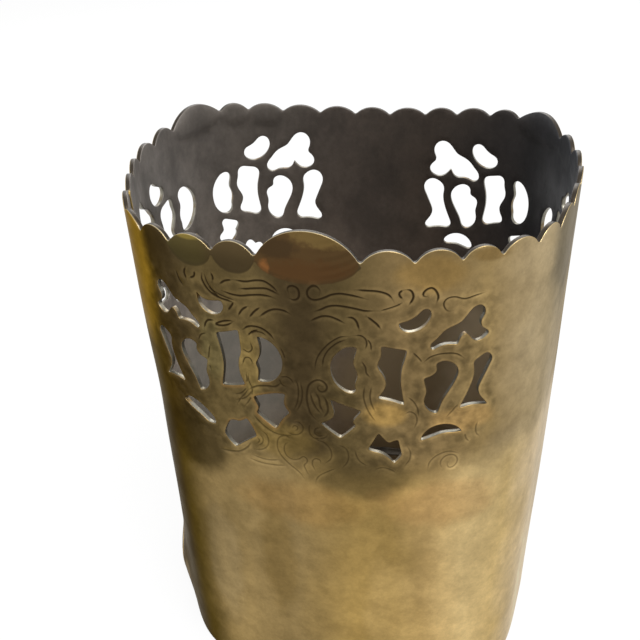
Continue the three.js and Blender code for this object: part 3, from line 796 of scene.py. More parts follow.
def face_of_sheet(wall, outline, loops, lines, steps):
    """Triangles of one face of the sheet.

    Returns the points as (along, height), each one's depth below the face, its marks, the
    triangles, and for every edge loop the points that lie on it.
    """
    drawing = Points()
    rings = []
    rounding = wall.sheet.edge_round
    inset = ((0.0, rounding), (0.3 * rounding, 0.32 * rounding), (1.25 * rounding, 0.0))
    for loop, side in [(outline, -1)] + [(loop, 1) for loop in loops]:
        into_sheet = loop_normals(loop) * side
        for offset, depth in inset:
            ids = drawing.line(loop + into_sheet * offset, depth, closed=True)
            if offset == 0:
                rings.append(ids)
    cuts = []
    for p, side, width, depth in lines:
        for share in (-0.5, 0.0, 0.5):
            drawing.line(p + side * (width * share)[:, None])
        cuts.append(np.column_stack([p, width / 2, depth]))
    drawing.scatter(filling_points(wall, outline, loops, np.vstack(drawing.at), steps))

    verts, _, faces, originals, _, _ = delaunay_2d_cdt(
        np.vstack(drawing.at).tolist(), drawing.edges, [], 0, 1e-6, True)
    at = np.array([(v[0], v[1]) for v in verts])
    triangles = np.array(faces)
    middle = at[triangles].mean(1)
    keep = is_inside(outline, middle)
    for loop in loops:
        keep &= ~is_inside(loop, middle)
    triangles = triangles[keep]

    given = np.concatenate(drawing.depths)
    depth = np.zeros(len(at))
    home = {}
    for new, olds in enumerate(originals):
        for old in olds:
            home[old] = new
            depth[new] = max(depth[new], given[old])
    rings = [[home[i] for i in ids] for ids in rings]
    marks = chasing_marks(wall, at, cuts, loops)
    marks["wear"] = depth / rounding
    depth = depth + marks["groove"] - marks["lip"] * wall.sheet.chase_lip
    return at, depth, marks, triangles, rings


def chasing_marks(wall, at, cuts, loops):
    """For each point: depth of the chased groove, the lip beside it, and the way to an opening."""
    groove, lip = np.zeros(len(at)), np.zeros(len(at))
    border = np.full(len(at), BORDER_REACH)
    in_panel = np.flatnonzero(wall.notch(at[:, 0]) - at[:, 1] < MARKS_DEPTH)
    edges = tree_of(np.vstack(loops))
    for i in in_panel:
        border[i] = min(BORDER_REACH, edges.find((*at[i], 0))[2])
    if cuts:
        cuts = np.vstack(cuts)
        tree = tree_of(cuts[:, :2])
        reach = cuts[:, 2].max() + 0.6
        for i in in_panel:
            for _, j, far in tree.find_range((*at[i], 0), reach):
                _, _, half, deep = cuts[j]
                groove[i] = max(groove[i], deep * (1 - far / half))
                beside = math.exp(-((far - half - 0.18) / 0.17) ** 2)
                lip[i] = max(lip[i], beside * deep / wall.sheet.chase_depth)
        lip *= np.clip(1 - groove / 0.03, 0, 1) * np.clip(border / 0.4 - 0.4, 0, 1)
    return {"groove": groove, "lip": lip, "border": border}


def mesh_object(name, points, faces, material_slots, attributes=None):
    """A smooth-shaded mesh object in the scene, riding on the one body."""
    mesh = bpy.data.meshes.new(name)
    mesh.from_pydata(np.asarray(points).tolist(), [], [list(map(int, f)) for f in faces])
    mesh.validate()
    for label, values in (attributes or {}).items():
        layer = mesh.attributes.new(label, "FLOAT", "POINT")
        layer.data.foreach_set("value", np.asarray(values, np.float32))
    mesh.shade_smooth()
    piece = bpy.data.objects.new(name, mesh)
    bpy.context.scene.collection.objects.link(piece)
    for material in material_slots:
        mesh.materials.append(material)
    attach(piece, "root")
    return piece


# Finishes

class Surface:
    """A metal's nodes, with a short call for each kind that is used."""

    def __init__(self, name, metallic, roughness, tint=None):
        self.material = bpy.data.materials.new(name)
        self.material.use_nodes = True
        self.tree = self.material.node_tree
        self.shader = self.tree.nodes["Principled BSDF"]
        self.shader.inputs["Metallic"].default_value = metallic
        self.shader.inputs["Roughness"].default_value = roughness
        if tint:
            self.shader.inputs["Specular Tint"].default_value = tint

    def node(self, kind, **settings):
        made = self.tree.nodes.new("ShaderNode" + kind)
        for label, value in settings.items():
            setattr(made, label, value)
        return made

    def put(self, socket, value):
        if isinstance(value, bpy.types.NodeSocket):
            self.tree.links.new(value, socket)
        else:
            socket.default_value = value

    def measure(self, name):
        return self.node("Attribute", attribute_name=name).outputs["Fac"]

    def math(self, operation, first, *others):
        """The operation on the first value and each of the others in turn."""
        for other in others or (0.0,):
            made = self.node("Math", operation=operation)
            self.put(made.inputs[0], first)
            self.put(made.inputs[1], other)
            first = made.outputs[0]
        return first

    def times(self, *values):
        return self.math("MULTIPLY", *values)

    def plus(self, *values):
        return self.math("ADD", *values)

    def swing(self, noise, reach=1.0):
        """Noise brought to swing about 0."""
        return self.times(self.math("SUBTRACT", noise, 0.5), reach)

    def ease(self, value, low, high, from_value=0.0, to_value=1.0):
        made = self.node("MapRange", interpolation_type="SMOOTHSTEP")
        for socket, given in zip(made.inputs, (value, low, high, from_value, to_value)):
            self.put(socket, given)
        return made.outputs[0]

    def band(self, value, start, full, fading, end):
        """1 in the middle of a stretch of the value, and 0 outside it."""
        return self.times(self.ease(value, start, full), self.ease(value, fading, end, 1.0, 0.0))

    def mix(self, factor, first, second):
        made = self.node("Mix", data_type="RGBA")
        self.put(made.inputs[0], factor)
        self.put(made.inputs[6], first)
        self.put(made.inputs[7], second)
        return made.outputs[2]

    def shade(self, colour, value, low, high, from_share, to_share):
        """The colour made darker or lighter by a value."""
        made = self.node("VectorMath", operation="SCALE")
        self.put(made.inputs[0], colour)
        self.put(made.inputs["Scale"], self.ease(value, low, high, from_share, to_share))
        return made.outputs[0]

    def clouded(self, colour, noise, dark, light):
        return self.shade(colour, noise, 0.3, 0.7, dark, light)

    def ramp(self, value, stops):
        """Tones at given places of a value, as (place, tone)."""
        low, high = stops[0][0], stops[-1][0]
        share = self.node("MapRange")
        for socket, given in zip(share.inputs, (value, low, high, 0.0, 1.0)):
            self.put(socket, given)
        made = self.node("ValToRGB")
        band = made.color_ramp.elements
        for index, (place, name) in enumerate(stops):
            position = (place - low) / (high - low)
            entry = band[index] if index < 2 else band.new(position)
            entry.position = position
            entry.color = tone(*TONES[name])
        self.put(made.inputs[0], share.outputs[0])
        return made.outputs[0]

    def noise(self, size, detail=3.0, roughness=0.55, up=1.0, seed=0.0):
        """Noise whose blotches have a size in millimetres, drawn out in height where up is under 1."""
        made = self.node("TexNoise", noise_dimensions="3D")
        made.inputs["Scale"].default_value = 1 / (size * MM)
        made.inputs["Detail"].default_value = detail
        made.inputs["Roughness"].default_value = roughness
        place = self.node("Mapping")
        place.inputs["Location"].default_value = (seed, seed, seed)
        place.inputs["Scale"].default_value = (1.0, 1.0, up)
        self.put(place.inputs["Vector"], self.node("TexCoord").outputs["Object"])
        self.put(made.inputs["Vector"], place.outputs[0])
        return made.outputs["Fac"]

    def patch(self, along, drop, at_along, at_drop, wide, tall, wander):
        """A soft round patch on the wall, 1 in its middle."""
        x = self.math("DIVIDE", self.math("SUBTRACT", along, at_along), wide)
        y = self.math("DIVIDE", self.math("SUBTRACT", drop, at_drop), tall)
        far = self.math("SQRT", self.plus(self.times(x, x), self.times(y, y)))
        return self.ease(self.plus(far, wander), 0.55, 1.15, 1.0, 0.0)

    def stained(self, colour, along, drop, wander, patches):
        """Soft patches of stain and of painted light and shade, each as (place along, drop, width, height,
        its tone, its share).
        """
        for *where, tint, share in patches:
            patch = self.patch(along, drop, *where, wander)
            colour = self.mix(self.times(patch, share), colour, tint)
        return colour

    def relief(self, height, strength, depth):
        made = self.node("Bump")
        made.inputs["Strength"].default_value = strength
        made.inputs["Distance"].default_value = depth * MM
        self.put(made.inputs["Height"], height)
        self.put(self.shader.inputs["Normal"], made.outputs[0])

    def finish(self, colour, roughness=None):
        self.put(self.shader.inputs["Base Color"], colour)
        if roughness is not None:
            self.put(self.shader.inputs["Roughness"], roughness)
        return self.material


# Tones of the metal's patina, and of the light and reflection painted on it
TONES = {
    "umber": (69, 57, 37),
    "walnut": (80, 66, 45),
    "olive": (97, 82, 52),
    "bronze": (123, 103, 68),
    "old brass": (148, 126, 84),
    "gold": (162, 135, 80),
    "straw": (179, 151, 99),
    "pale straw": (201, 176, 125),
    "silvery": (206, 190, 160),
    "worn": (239, 221, 191),
    "black": (31, 30, 31),
    "blue black": (34, 36, 40),
    "peat": (50, 43, 37),
    "smoke": (65, 58, 52),
    "stone": (84, 78, 72),
    "ash": (95, 90, 85),
}

# Patina by place along the wall, in millimetres from the front panel's middle line. On the outside, the run
# from dark at the left edge to pale at the right is mostly painted light and shade, and the silvery and
# lightened tones at the right edge are painted reflection.
PANEL_PATINA = (
    (-44, "olive"), (-32, "olive"), (-24, "umber"), (-20, "umber"), (-16, "olive"), (-7, "olive"),
    (-3, "umber"), (0, "umber"), (5, "olive"), (12, "bronze"), (19, "bronze"), (25, "old brass"),
    (42, "silvery"), (60, "old brass"), (82, "walnut"), (116, "old brass"), (157, "walnut"), (182, "bronze"),
)
WALL_PATINA = (
    (-40, "walnut"), (-27, "umber"), (-23, "olive"), (-18, "old brass"), (-4, "old brass"), (6, "gold"),
    (12, "gold"), (18, "straw"), (25, "pale straw"), (31, "pale straw"), (42, "worn"), (52, "worn"),
    (82, "old brass"), (116, "straw"), (150, "bronze"), (184, "walnut"),
)
INSIDE_PATINA = (
    (-40, "ash"), (-10, "stone"), (35, "smoke"), (64, "blue black"), (86, "black"), (107, "peat"),
    (127, "smoke"), (150, "stone"), (170, "ash"), (197, "ash"),
)


def outside_finish(colours):
    """Old brass: olive and brown patina, with gold and pale bands that are partly rubbed metal and partly
    painted reflection, and painted light and shade over the relief.
    """
    s = Surface("Aged Brass Outside", 1.0, 0.38, tone(178, 172, 160))
    along, across, drop, border = map(s.measure, ("along", "across", "drop", "border"))
    wander = s.swing(s.noise(16, detail=2), 8.0)
    around = s.plus(along, wander)
    zone = s.ease(s.plus(drop, wander), 29, 38)
    colour = s.mix(zone, s.ramp(around, PANEL_PATINA), s.ramp(around, WALL_PATINA))
    colour = s.shade(colour, drop, 44, 76, 1.0, 1.1)
    ragged = s.swing(s.noise(5, detail=3, seed=3), 0.7)
    colour = s.stained(colour, along, drop, ragged, (
        # Painted gold reflection down the left edge, painted shade under both halves of the panel, light
        # between
        (-30.0, 5.0, 5.5, 17.0, tone(158, 126, 56), 0.9),
        (-20.5, 34.0, 8.0, 7.0, colours.soot, 0.85),
        (7.5, 35.5, 8.0, 5.0, colours.soot, 0.6),
        (-5.0, 29.5, 6.0, 4.0, tone(132, 110, 62), 0.5),
        # Painted reflections streaking down the plain wall, and clouds at its top
        (12.0, 66.0, 5.0, 14.0, tone(200, 170, 112), 0.4),
        (-18.0, 62.0, 4.0, 16.0, tone(172, 156, 124), 0.2),
        (-7.0, 56.0, 3.5, 16.0, tone(126, 102, 56), 0.45),
        (19.0, 41.0, 11.0, 5.0, tone(186, 144, 90), 0.35),
        (-2.0, 42.0, 12.0, 5.0, tone(148, 112, 60), 0.35),
        # Grey under the rim on the right
        (46.0, 1.0, 11.0, 15.0, tone(130, 124, 112), 0.75),
        # Painted shade in the knock's crease and a painted highlight on its middle
        (-37.5, 70.0, 2.2, 6.0, tone(58, 44, 30), 0.7),
        (-36.0, 79.0, 1.6, 3.0, tone(150, 130, 100), 0.5),
        # Light and dark spots among the right openings, then the left ones: partly rubbed metal, partly
        # painted highlight and shade of the chased relief
        (10.5, 23.5, 3.2, 2.4, tone(186, 150, 84), 0.6),
        (21.5, 25.0, 5.0, 2.6, tone(196, 158, 98), 0.5),
        (16.5, 1.5, 5.0, 3.0, tone(150, 120, 66), 0.5),
        (24.5, -0.8, 3.0, 1.1, tone(112, 88, 48), 0.6),
        (-14.7, 15.5, 2.2, 6.5, tone(114, 106, 70), 0.35),
        (-8.8, 17.0, 1.8, 6.5, tone(132, 112, 64), 0.4),
        # Painted shade under the back panels, as under the front one
        (63.0, 34.0, 10.0, 7.0, colours.soot, 0.55),
        (92.0, 36.0, 13.0, 6.0, colours.soot, 0.4),
        (140.0, 35.0, 12.0, 8.0, colours.soot, 0.5),
        (169.0, 33.0, 9.0, 6.0, colours.soot, 0.5),
    ))

    mottle = s.noise(5, detail=5, seed=7)
    grain = s.noise(0.5, detail=3, roughness=0.7, seed=5)
    for cloud, dark, light in (
        (mottle, 0.9, 1.1),
        (s.noise(12, detail=2, roughness=0.5, up=0.35, seed=11), 0.88, 1.12),
        (s.noise(1.7, detail=4, roughness=0.65, seed=17), 0.92, 1.08),
        (grain, 0.95, 1.05),
    ):
        colour = s.clouded(colour, cloud, dark, light)
    colour = s.mix(s.ease(grain, 0.66, 0.76, 0.0, 0.3), colour, colours.soot)

    # Painted light and shade over the panels' worked dents, a broken ring of painted shade round the
    # openings, and a painted highlight right beside them
    on_panel = s.times(
        s.band(drop, 2.5, 4.5, 32, 38),
        s.ease(border, 2.2, 3.6, 1.0, 0.25),
        s.ease(s.math("ABSOLUTE", across), 24, 28, 1.0, 0.0))
    dent = s.times(s.swing(s.noise(1.5, detail=2, roughness=0.5, seed=21)), on_panel)
    colour = s.shade(colour, dent, -0.2, 0.2, 0.8, 1.2)
    broken = s.ease(s.noise(2.6, detail=2, roughness=0.5, seed=31), 0.4, 0.65, 0.0, 0.38)
    colour = s.mix(s.times(s.band(border, 0.6, 1.0, 1.2, 1.9), broken), colour, colours.soot)
    colour = s.shade(colour, border, 0.2, 0.55, 1.25, 1.0)

    # The dished scallops: their own patina, with painted light and shade in the hollows, painted highlights
    # and painted shade in the crease at each dish's foot
    over_foot, dish = s.measure("over_foot"), s.measure("dish")
    small = s.mix(s.ease(across, -15.5, -12.5), tone(72, 64, 38), tone(70, 58, 39))
    # Painted light at the top of each small hollow and painted shade lower down
    small = s.shade(small, drop, -1.8, 1.6, 1.55, 0.85)
    # A painted highlight at the top of the first small scallop
    small = s.stained(small, along, drop, ragged, ((-16.4, -1.8, 2.2, 0.7, tone(140, 122, 62), 1.0),))
    smudge = s.plus(ragged, s.swing(s.noise(0.9, detail=3, seed=23)))
    large = s.stained(tone(86, 66, 41), along, drop, smudge, (
        (0.5, 2.6, 10.0, 3.4, colours.copper, 0.9),
        (2.8, -4.2, 4.6, 2.2, tone(124, 102, 60), 0.7),
        (-3.6, -1.8, 3.2, 1.7, tone(62, 49, 34), 0.6),
        # A painted glint and its tail
        (-5.5, 1.5, 1.0, 1.6, tone(150, 98, 54), 0.6),
        (-4.2, 3.0, 2.2, 1.0, tone(118, 80, 46), 0.6),
    ))
    streak = s.math("SINE", s.times(s.plus(over_foot, ragged), 5.0))
    large = s.shade(large, streak, -1.0, 1.0, s.ease(along, 0.0, 4.0, 1.0, 0.88), 1.0)
    in_dish = s.ease(over_foot, 0.0, 0.3)
    colour = s.mix(s.times(in_dish, s.ease(dish, 0.1, 0.4, 0.0, 0.85)), colour, small)
    colour = s.mix(s.times(in_dish, s.ease(dish, 0.7, 0.9)), colour, large)
    # Painted shade in the crease at each dish's foot
    arc = s.times(s.band(over_foot, 0.0, 0.2, 0.3, 0.8), s.ease(dish, 0.1, 0.4, 0.0, 0.4))
    colour = s.mix(arc, colour, colours.soot)

    # Chased lines with a painted highlight on the lips beside them, then the filed edges
    colour = s.shade(colour, s.measure("lip"), 0.05, 0.8, 1.0, 1.3)
    cut = s.times(s.ease(s.measure("groove"), 0.004, 0.1), s.ease(drop, 9, 30, 0.95, 0.4))
    colour = s.mix(cut, colour, colours.chased_dark)
    rubbed = s.mix(s.ease(drop, 1.0, 4.0, 1.0, 0.0), tone(160, 132, 82), colours.bright)
    brown = s.patch(along, drop, -9.0, 25.0, 7.0, 6.0, s.times(ragged, 1.5))
    rubbed = s.mix(s.times(brown, 0.6), rubbed, tone(140, 104, 62))
    colour = s.mix(s.times(brown, s.ease(border, 0.2, 0.6, 0.35, 0.0)), colour, tone(140, 104, 60))
    colour = s.mix(s.ease(s.measure("wear"), 0.1, 1.0), colour, rubbed)
    fine = s.noise(0.3, detail=3, roughness=0.7, up=0.5, seed=13)
    s.relief(s.plus(s.times(fine, 0.3), s.times(mottle, 0.6), s.times(dent, 5.0)), 0.3, 0.06)
    return s.finish(colour, s.ease(mottle, 0.3, 0.7, 0.44, 0.36))


def inside_finish():
    """The unpolished inside, nearly black on one side and cloudy grey on the other, with painted light lower
    down.
    """
    s = Surface("Aged Brass Inside", 0.4, 0.5)
    along, drop = s.measure("along"), s.measure("drop")
    wander = s.swing(s.noise(13, detail=3, seed=2), 12.0)
    around = s.plus(along, wander)
    cloud = s.noise(7, detail=4, roughness=0.6, up=0.7, seed=9)
    grain = s.noise(1.1, detail=5, roughness=0.7, seed=4)
    colour = s.clouded(s.ramp(around, INSIDE_PATINA), cloud, 1.3, 2.3)
    colour = s.clouded(colour, grain, 0.92, 1.08)
    # Painted light lower down inside, and more of it low on the grey side
    colour = s.shade(colour, drop, 8, 44, 1.0, 2.4)
    low_painted_light = s.times(s.ease(drop, 28, 48), s.ease(around, 122, 138))
    colour = s.shade(colour, low_painted_light, 0.0, 1.0, 1.0, 1.3)
    # Patches of painted light low inside, behind the openings
    colour = s.stained(colour, along, drop, s.times(wander, 0.07), (
        (102.0, 66.0, 36.0, 28.0, tone(184, 162, 126), 0.75),
        (89.0, 62.0, 16.0, 24.0, tone(226, 206, 172), 0.9),
        (156.0, 62.0, 26.0, 26.0, tone(184, 184, 174), 0.55),
    ))
    colour = s.mix(s.ease(drop, 74, 88, 0.0, 0.5), colour, tone(128, 108, 72))
    s.relief(s.plus(grain, s.times(cloud, 2.0)), 0.3, 0.08)
    return s.finish(colour, s.ease(cloud, 0.3, 0.7, 0.55, 0.4))


def sawn_finish(colours):
    """Cut edges: pale where they were filed, with the saw's marks across the thickness, painted shade on the
    edges of the front left openings and a painted highlight on those of the front right ones.
    """
    s = Surface("Sawn Brass Edge", 0.8, 0.34)
    along, drop = s.measure("along"), s.measure("drop")
    marks = s.noise(0.5, detail=4, roughness=0.7, seed=6)
    colour = s.mix(s.ease(s.noise(3.5, seed=8), 0.5, 0.72), colours.sawn, tone(150, 122, 74))
    # Painted shade on the edges of the front left openings, darker edges from 15 mm along onward, and a
    # painted highlight on the edges of the front right openings
    colour = s.stained(colour, along, drop, 0.0, ((-8.5, 21.0, 9.0, 9.0, tone(98, 92, 76), 0.7),))
    colour = s.shade(colour, along, 15, 19, 1.0, 0.7)
    colour = s.mix(s.times(s.band(along, 1, 4, 14, 18), 0.8), colour, tone(196, 188, 168))
    inward = s.ease(s.measure("through"), 0.05, 0.3)
    dark = s.math("MAXIMUM", inward, s.ease(s.math("ABSOLUTE", along), 25, 31))
    colour = s.mix(s.times(s.ease(drop, 1.0, 4.0, 1.0, 0.0), dark), colour, tone(62, 55, 46))
    colour = s.clouded(colour, marks, 0.85, 1.1)
    s.relief(marks, 0.4, 0.04)
    return s.finish(colour)


def braze_finish(colours):
    """Yellow brazing metal, pitted and stained."""
    s = Surface("Brazing Metal", 0.95, 0.36)
    pits = s.noise(0.5, detail=4, roughness=0.7)
    stain = s.noise(4, detail=4, seed=3)
    colour = s.mix(s.ease(stain, 0.4, 0.7), colours.braze, tone(112, 88, 46))
    colour = s.mix(s.ease(pits, 0.6, 0.75, 0.0, 0.7), colour, colours.chased_dark)
    s.relief(pits, 0.5, 0.05)
    return s.finish(colour, s.ease(stain, 0.3, 0.7, 0.3, 0.5))


def plate_finish(colours):
    """The floor, dull and ringed where glasses have stood."""
    s = Surface("Oxidised Floor Brass", 0.6, 0.55)
    flat = s.node("Mapping")
    flat.inputs["Scale"].default_value = (1.0, 1.0, 0.0)
    s.put(flat.inputs["Vector"], s.node("TexCoord").outputs["Object"])
    middle = s.node("VectorMath", operation="LENGTH")
    s.put(middle.inputs[0], flat.outputs[0])
    radius = s.times(middle.outputs["Value"], 1 / MM)
    blotch = s.noise(9, detail=5, roughness=0.62)
    grain = s.noise(0.9, detail=4, roughness=0.7, seed=5)
    ring = s.math("ABSOLUTE", s.math("SUBTRACT", s.plus(radius, s.times(blotch, 3.0)), 27.0))
    worn = s.ease(ring, 0.4, 2.6, 0.5, 0.0)
    colour = s.mix(s.ease(blotch, 0.35, 0.68), tone(94, 78, 56), colours.plate)
    colour = s.clouded(s.mix(worn, colour, tone(150, 126, 80)), grain, 0.8, 1.15)
    s.relief(s.plus(grain, s.times(blotch, 3.0)), 0.35, 0.08)
    return s.finish(colour, s.ease(worn, 0.0, 0.5, 0.55, 0.36))


def solder_finish(colours):
    """Dull solder with darker flux in its hollows."""
    s = Surface("Soft Solder", 0.4, 0.6)
    lumps = s.noise(1.8, detail=4, roughness=0.6)
    colour = s.mix(s.ease(s.noise(5, detail=4, seed=4), 0.48, 0.7), colours.solder, tone(48, 41, 31))
    colour = s.clouded(colour, lumps, 0.85, 1.15)
    s.relief(lumps, 0.5, 0.12)
    return s.finish(colour, s.ease(lumps, 0.3, 0.7, 0.55, 0.35))


# Pieces

def settings():
    scene = bpy.context.scene
    wall = Wall(Millimetres(scene.holder_plan), Millimetres(scene.holder_sheet))
    return wall, Millimetres(scene.holder_floor), scene.holder_finishes


def sleeve_side(wall, at, depth, marks, inner):
    """Points of one face in space, and the measures that its patina and its painted light and shade are laid
    on by.
    """
    along, height = at.T
    dish = wall.dish(along, height)
    sink = dish - wall.sway(along, height)
    total = wall.sheet.thickness - depth + sink if inner else depth + sink
    points = wall.place(along, height, total)
    over_foot, dish_depth = wall.lens(along, height)
    measures = {
        "along": along,
        "across": wall.across(along),
        "drop": wall.sheet.notch_height - height,
        "over_foot": over_foot,
        "dish": dish_depth,
        "through": np.full(len(at), float(inner)),
    }
    return points, measures | marks


class HOLDER_OT_build_sleeve(bpy.types.Operator):
    """Cut, chase and bend the pierced sleeve"""

    bl_idname = "holder.build_sleeve"
    bl_label = "Pierced Sleeve"

    def execute(self, context):
        wall, _, colours = settings()
        loops = opening_loops(wall)
        outline = sheet_outline(wall)
        lines = chased_lines(wall, loops)
        at_out, depth_out, marks_out, faces_out, rings_out = face_of_sheet(
            wall, outline, loops, lines, OUTSIDE_STEPS)
        at_in, depth_in, marks_in, faces_in, rings_in = face_of_sheet(
            wall, outline, loops, [], INSIDE_STEPS)
        out_points, out_measures = sleeve_side(wall, at_out, depth_out, marks_out, False)
        in_points, in_measures = sleeve_side(wall, at_in, depth_in, marks_in, True)
        shift = len(out_points)
        faces = [tuple(f) for f in faces_out]
        faces += [tuple(f[::-1] + shift) for f in faces_in]
        for index, (outer, inner) in enumerate(zip(rings_out, rings_in)):
            for a, b, c, d in zip(outer, outer[1:] + outer[:1], inner[1:] + inner[:1], inner):
                quad = (a, b, c + shift, d + shift)
                faces.append(quad[::-1] if index == 0 else quad)
        measures = {name: np.concatenate([out_measures[name], in_measures[name]]) for name in out_measures}
        piece = mesh_object(
            "pierced_sleeve_sheet", np.vstack([out_points, in_points]), faces,
            [outside_finish(colours), inside_finish(), sawn_finish(colours)], measures)
        edge_count = len(faces) - len(faces_out) - len(faces_in)
        kinds = np.repeat([0, 1, 2], [len(faces_out), len(faces_in), edge_count])
        piece.data.polygons.foreach_set("material_index", kinds)
        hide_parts("pierced_sleeve")
        return {"FINISHED"}


def tube_of_sections(sections, closed):
    """Faces between rings of equally many points, closed end to end or capped."""
    rows, size = len(sections), len(sections[0])
    faces = []
    for i in range(rows if closed else rows - 1):
        after = (i + 1) % rows
        for j in range(size):
            k = (j + 1) % size
            faces.append((i * size + j, i * size + k, after * size + k, after * size + j))
    if not closed:
        faces.append(tuple(range(size))[::-1])
        faces.append(tuple(range((rows - 1) * size, rows * size)))
    return faces


def ripple(place, waves):
    """Soft unevenness along a joint."""
    return sum(size * math.sin(rate * place + start) for rate, start, size in waves)


class HOLDER_OT_build_seam(bpy.types.Operator):
    """Run the brazing metal down the seam"""

    bl_idname = "holder.build_seam"
    bl_label = "Brazed Seam"

    def execute(self, context):
        wall, _, colours = settings()
        half = wall.sheet.seam_width / 2
        thick = wall.sheet.thickness
        top = float(wall.rim(np.array([wall.seam]))[0]) - 0.1
        section = ((-0.1, 0.05), (-0.06, -0.02), (0.0, -0.05), (0.06, -0.02), (0.1, 0.05), (0.02, 0.3),
                   (0.02, thick - 0.2), (0.35, thick + 0.02), (0.2, thick + 0.16), (0.0, thick + 0.22),
                   (-0.2, thick + 0.16), (-0.35, thick + 0.02), (-0.02, thick - 0.2), (-0.02, 0.3))
        sides = np.array((-1, -0.5, 0, 0.5, 1, 1, 1, 1, 0.5, 0, -0.5, -1, -1, -1))
        offsets, depths = np.array(section).T
        inside = depths > thick
        rows = []
        for height in np.linspace(0.0, top, 150):
            wave = ripple(height, SEAM_WAVES)
            level = np.full(len(section), height)
            along = wall.seam + sides * half + offsets * (1 + 0.35 * wave)
            depth = depths + inside * 0.07 * wave - wall.sway(along, level)
            rows.append(wall.place(along, level, depth))
        piece = mesh_object("seam_braze_bead", np.vstack(rows), tube_of_sections(rows, False),
                            [braze_finish(colours)])
        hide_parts("seam_braze")
        return {"FINISHED"}


class HOLDER_OT_build_floor(bpy.types.Operator):
    """Lay the floor plate and run the solder round it"""

    bl_idname = "holder.build_floor"
    bl_label = "Floor and Solder"

    def execute(self, context):
        wall, floor, colours = settings()
        self.lay_plate(wall, floor, colours)
        self.run_solder(wall, floor, colours)
        return {"FINISHED"}

    def lay_plate(self, wall, floor, colours):
        """Both faces are rings that shrink to the middle; the rim is filed round."""
        low, high = (corner.z / MM for corner in PLATE_BOX)
        along = np.linspace(0, wall.girth, 241)[:-1]
        foot = np.zeros(len(along))
        edge = wall.place(along, foot, wall.sheet.thickness + floor.plate_gap - wall.sway(along, foot)) / MM
        middle = edge.mean(0)
        rounding = floor.plate_round
        profile = [(share, 0.0) for share in (0.12, 0.3, 0.5, 0.7, 0.86, 0.96)]
        for back, up in ((1.0, 0.0), (0.29, 0.29), (0.0, 1.0)):
            profile.append((1 - back * rounding / wall.plan.mean_radius, up * rounding))
        under = [(share, low + up) for share, up in profile]
        over = [(share, high - up) for share, up in reversed(profile)]
        rows = []
        for share, height in under + over:
            ring = middle + (edge - middle) * share
            ring[:, 2] = height
            if height > (low + high) / 2:
                dents = 1 + np.sin(ring[:, 0] * 0.22 + 1) * np.cos(ring[:, 1] * 0.19)
                ring[:, 2] -= 0.05 * (1 - share) * dents
            rows.append(ring * MM)
        piece = mesh_object("floor_plate_disc", np.vstack(rows), tube_of_sections(rows, False),
                            [plate_finish(colours)])
        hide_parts("floor_plate")

    def run_solder(self, wall, floor, colours):
        """A slightly lumpy fillet between the plate and the wall."""
        foot = PLATE_BOX[1].z / MM - 0.03
        near = wall.sheet.thickness - 0.03
        leg = floor.fillet
        shares = np.linspace(0, 1, 7)
        rows = []
        for along in np.linspace(0, wall.girth, 421)[:-1]:
            lump = ripple(2 * math.pi * along / wall.girth, SOLDER_WAVES)
            size = leg * (0.9 + 0.1 * lump)
            sag = 0.12 * leg * (1 - 0.5 * lump)
            hollow = sag * np.sin(math.pi * shares) * 0.7
            depth = np.concatenate([[near], near + size * shares - hollow])
            height = np.concatenate([[foot], foot + size * (1 - shares) - hollow])
            place = np.full(len(depth), along)
            rows.append(wall.place(place, height, depth - wall.sway(place, height)))
        piece = mesh_object("floor_solder_fillet", np.vstack(rows), tube_of_sections(rows, True),
                            [solder_finish(colours)])
        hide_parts("floor_solder")


# Stage

def seen_directly(tree):
    """1 for the camera and for what metal mirrors, else 0."""
    path = tree.nodes.new("ShaderNodeLightPath")
    seen = path.outputs["Is Camera Ray"]
    for kind in ("Is Glossy Ray", "Is Transmission Ray"):
        either = tree.nodes.new("ShaderNodeMath")
        either.operation = "MAXIMUM"
        tree.links.new(seen, either.inputs[0])
        tree.links.new(path.outputs[kind], either.inputs[1])
        seen = either.outputs[0]
    return seen


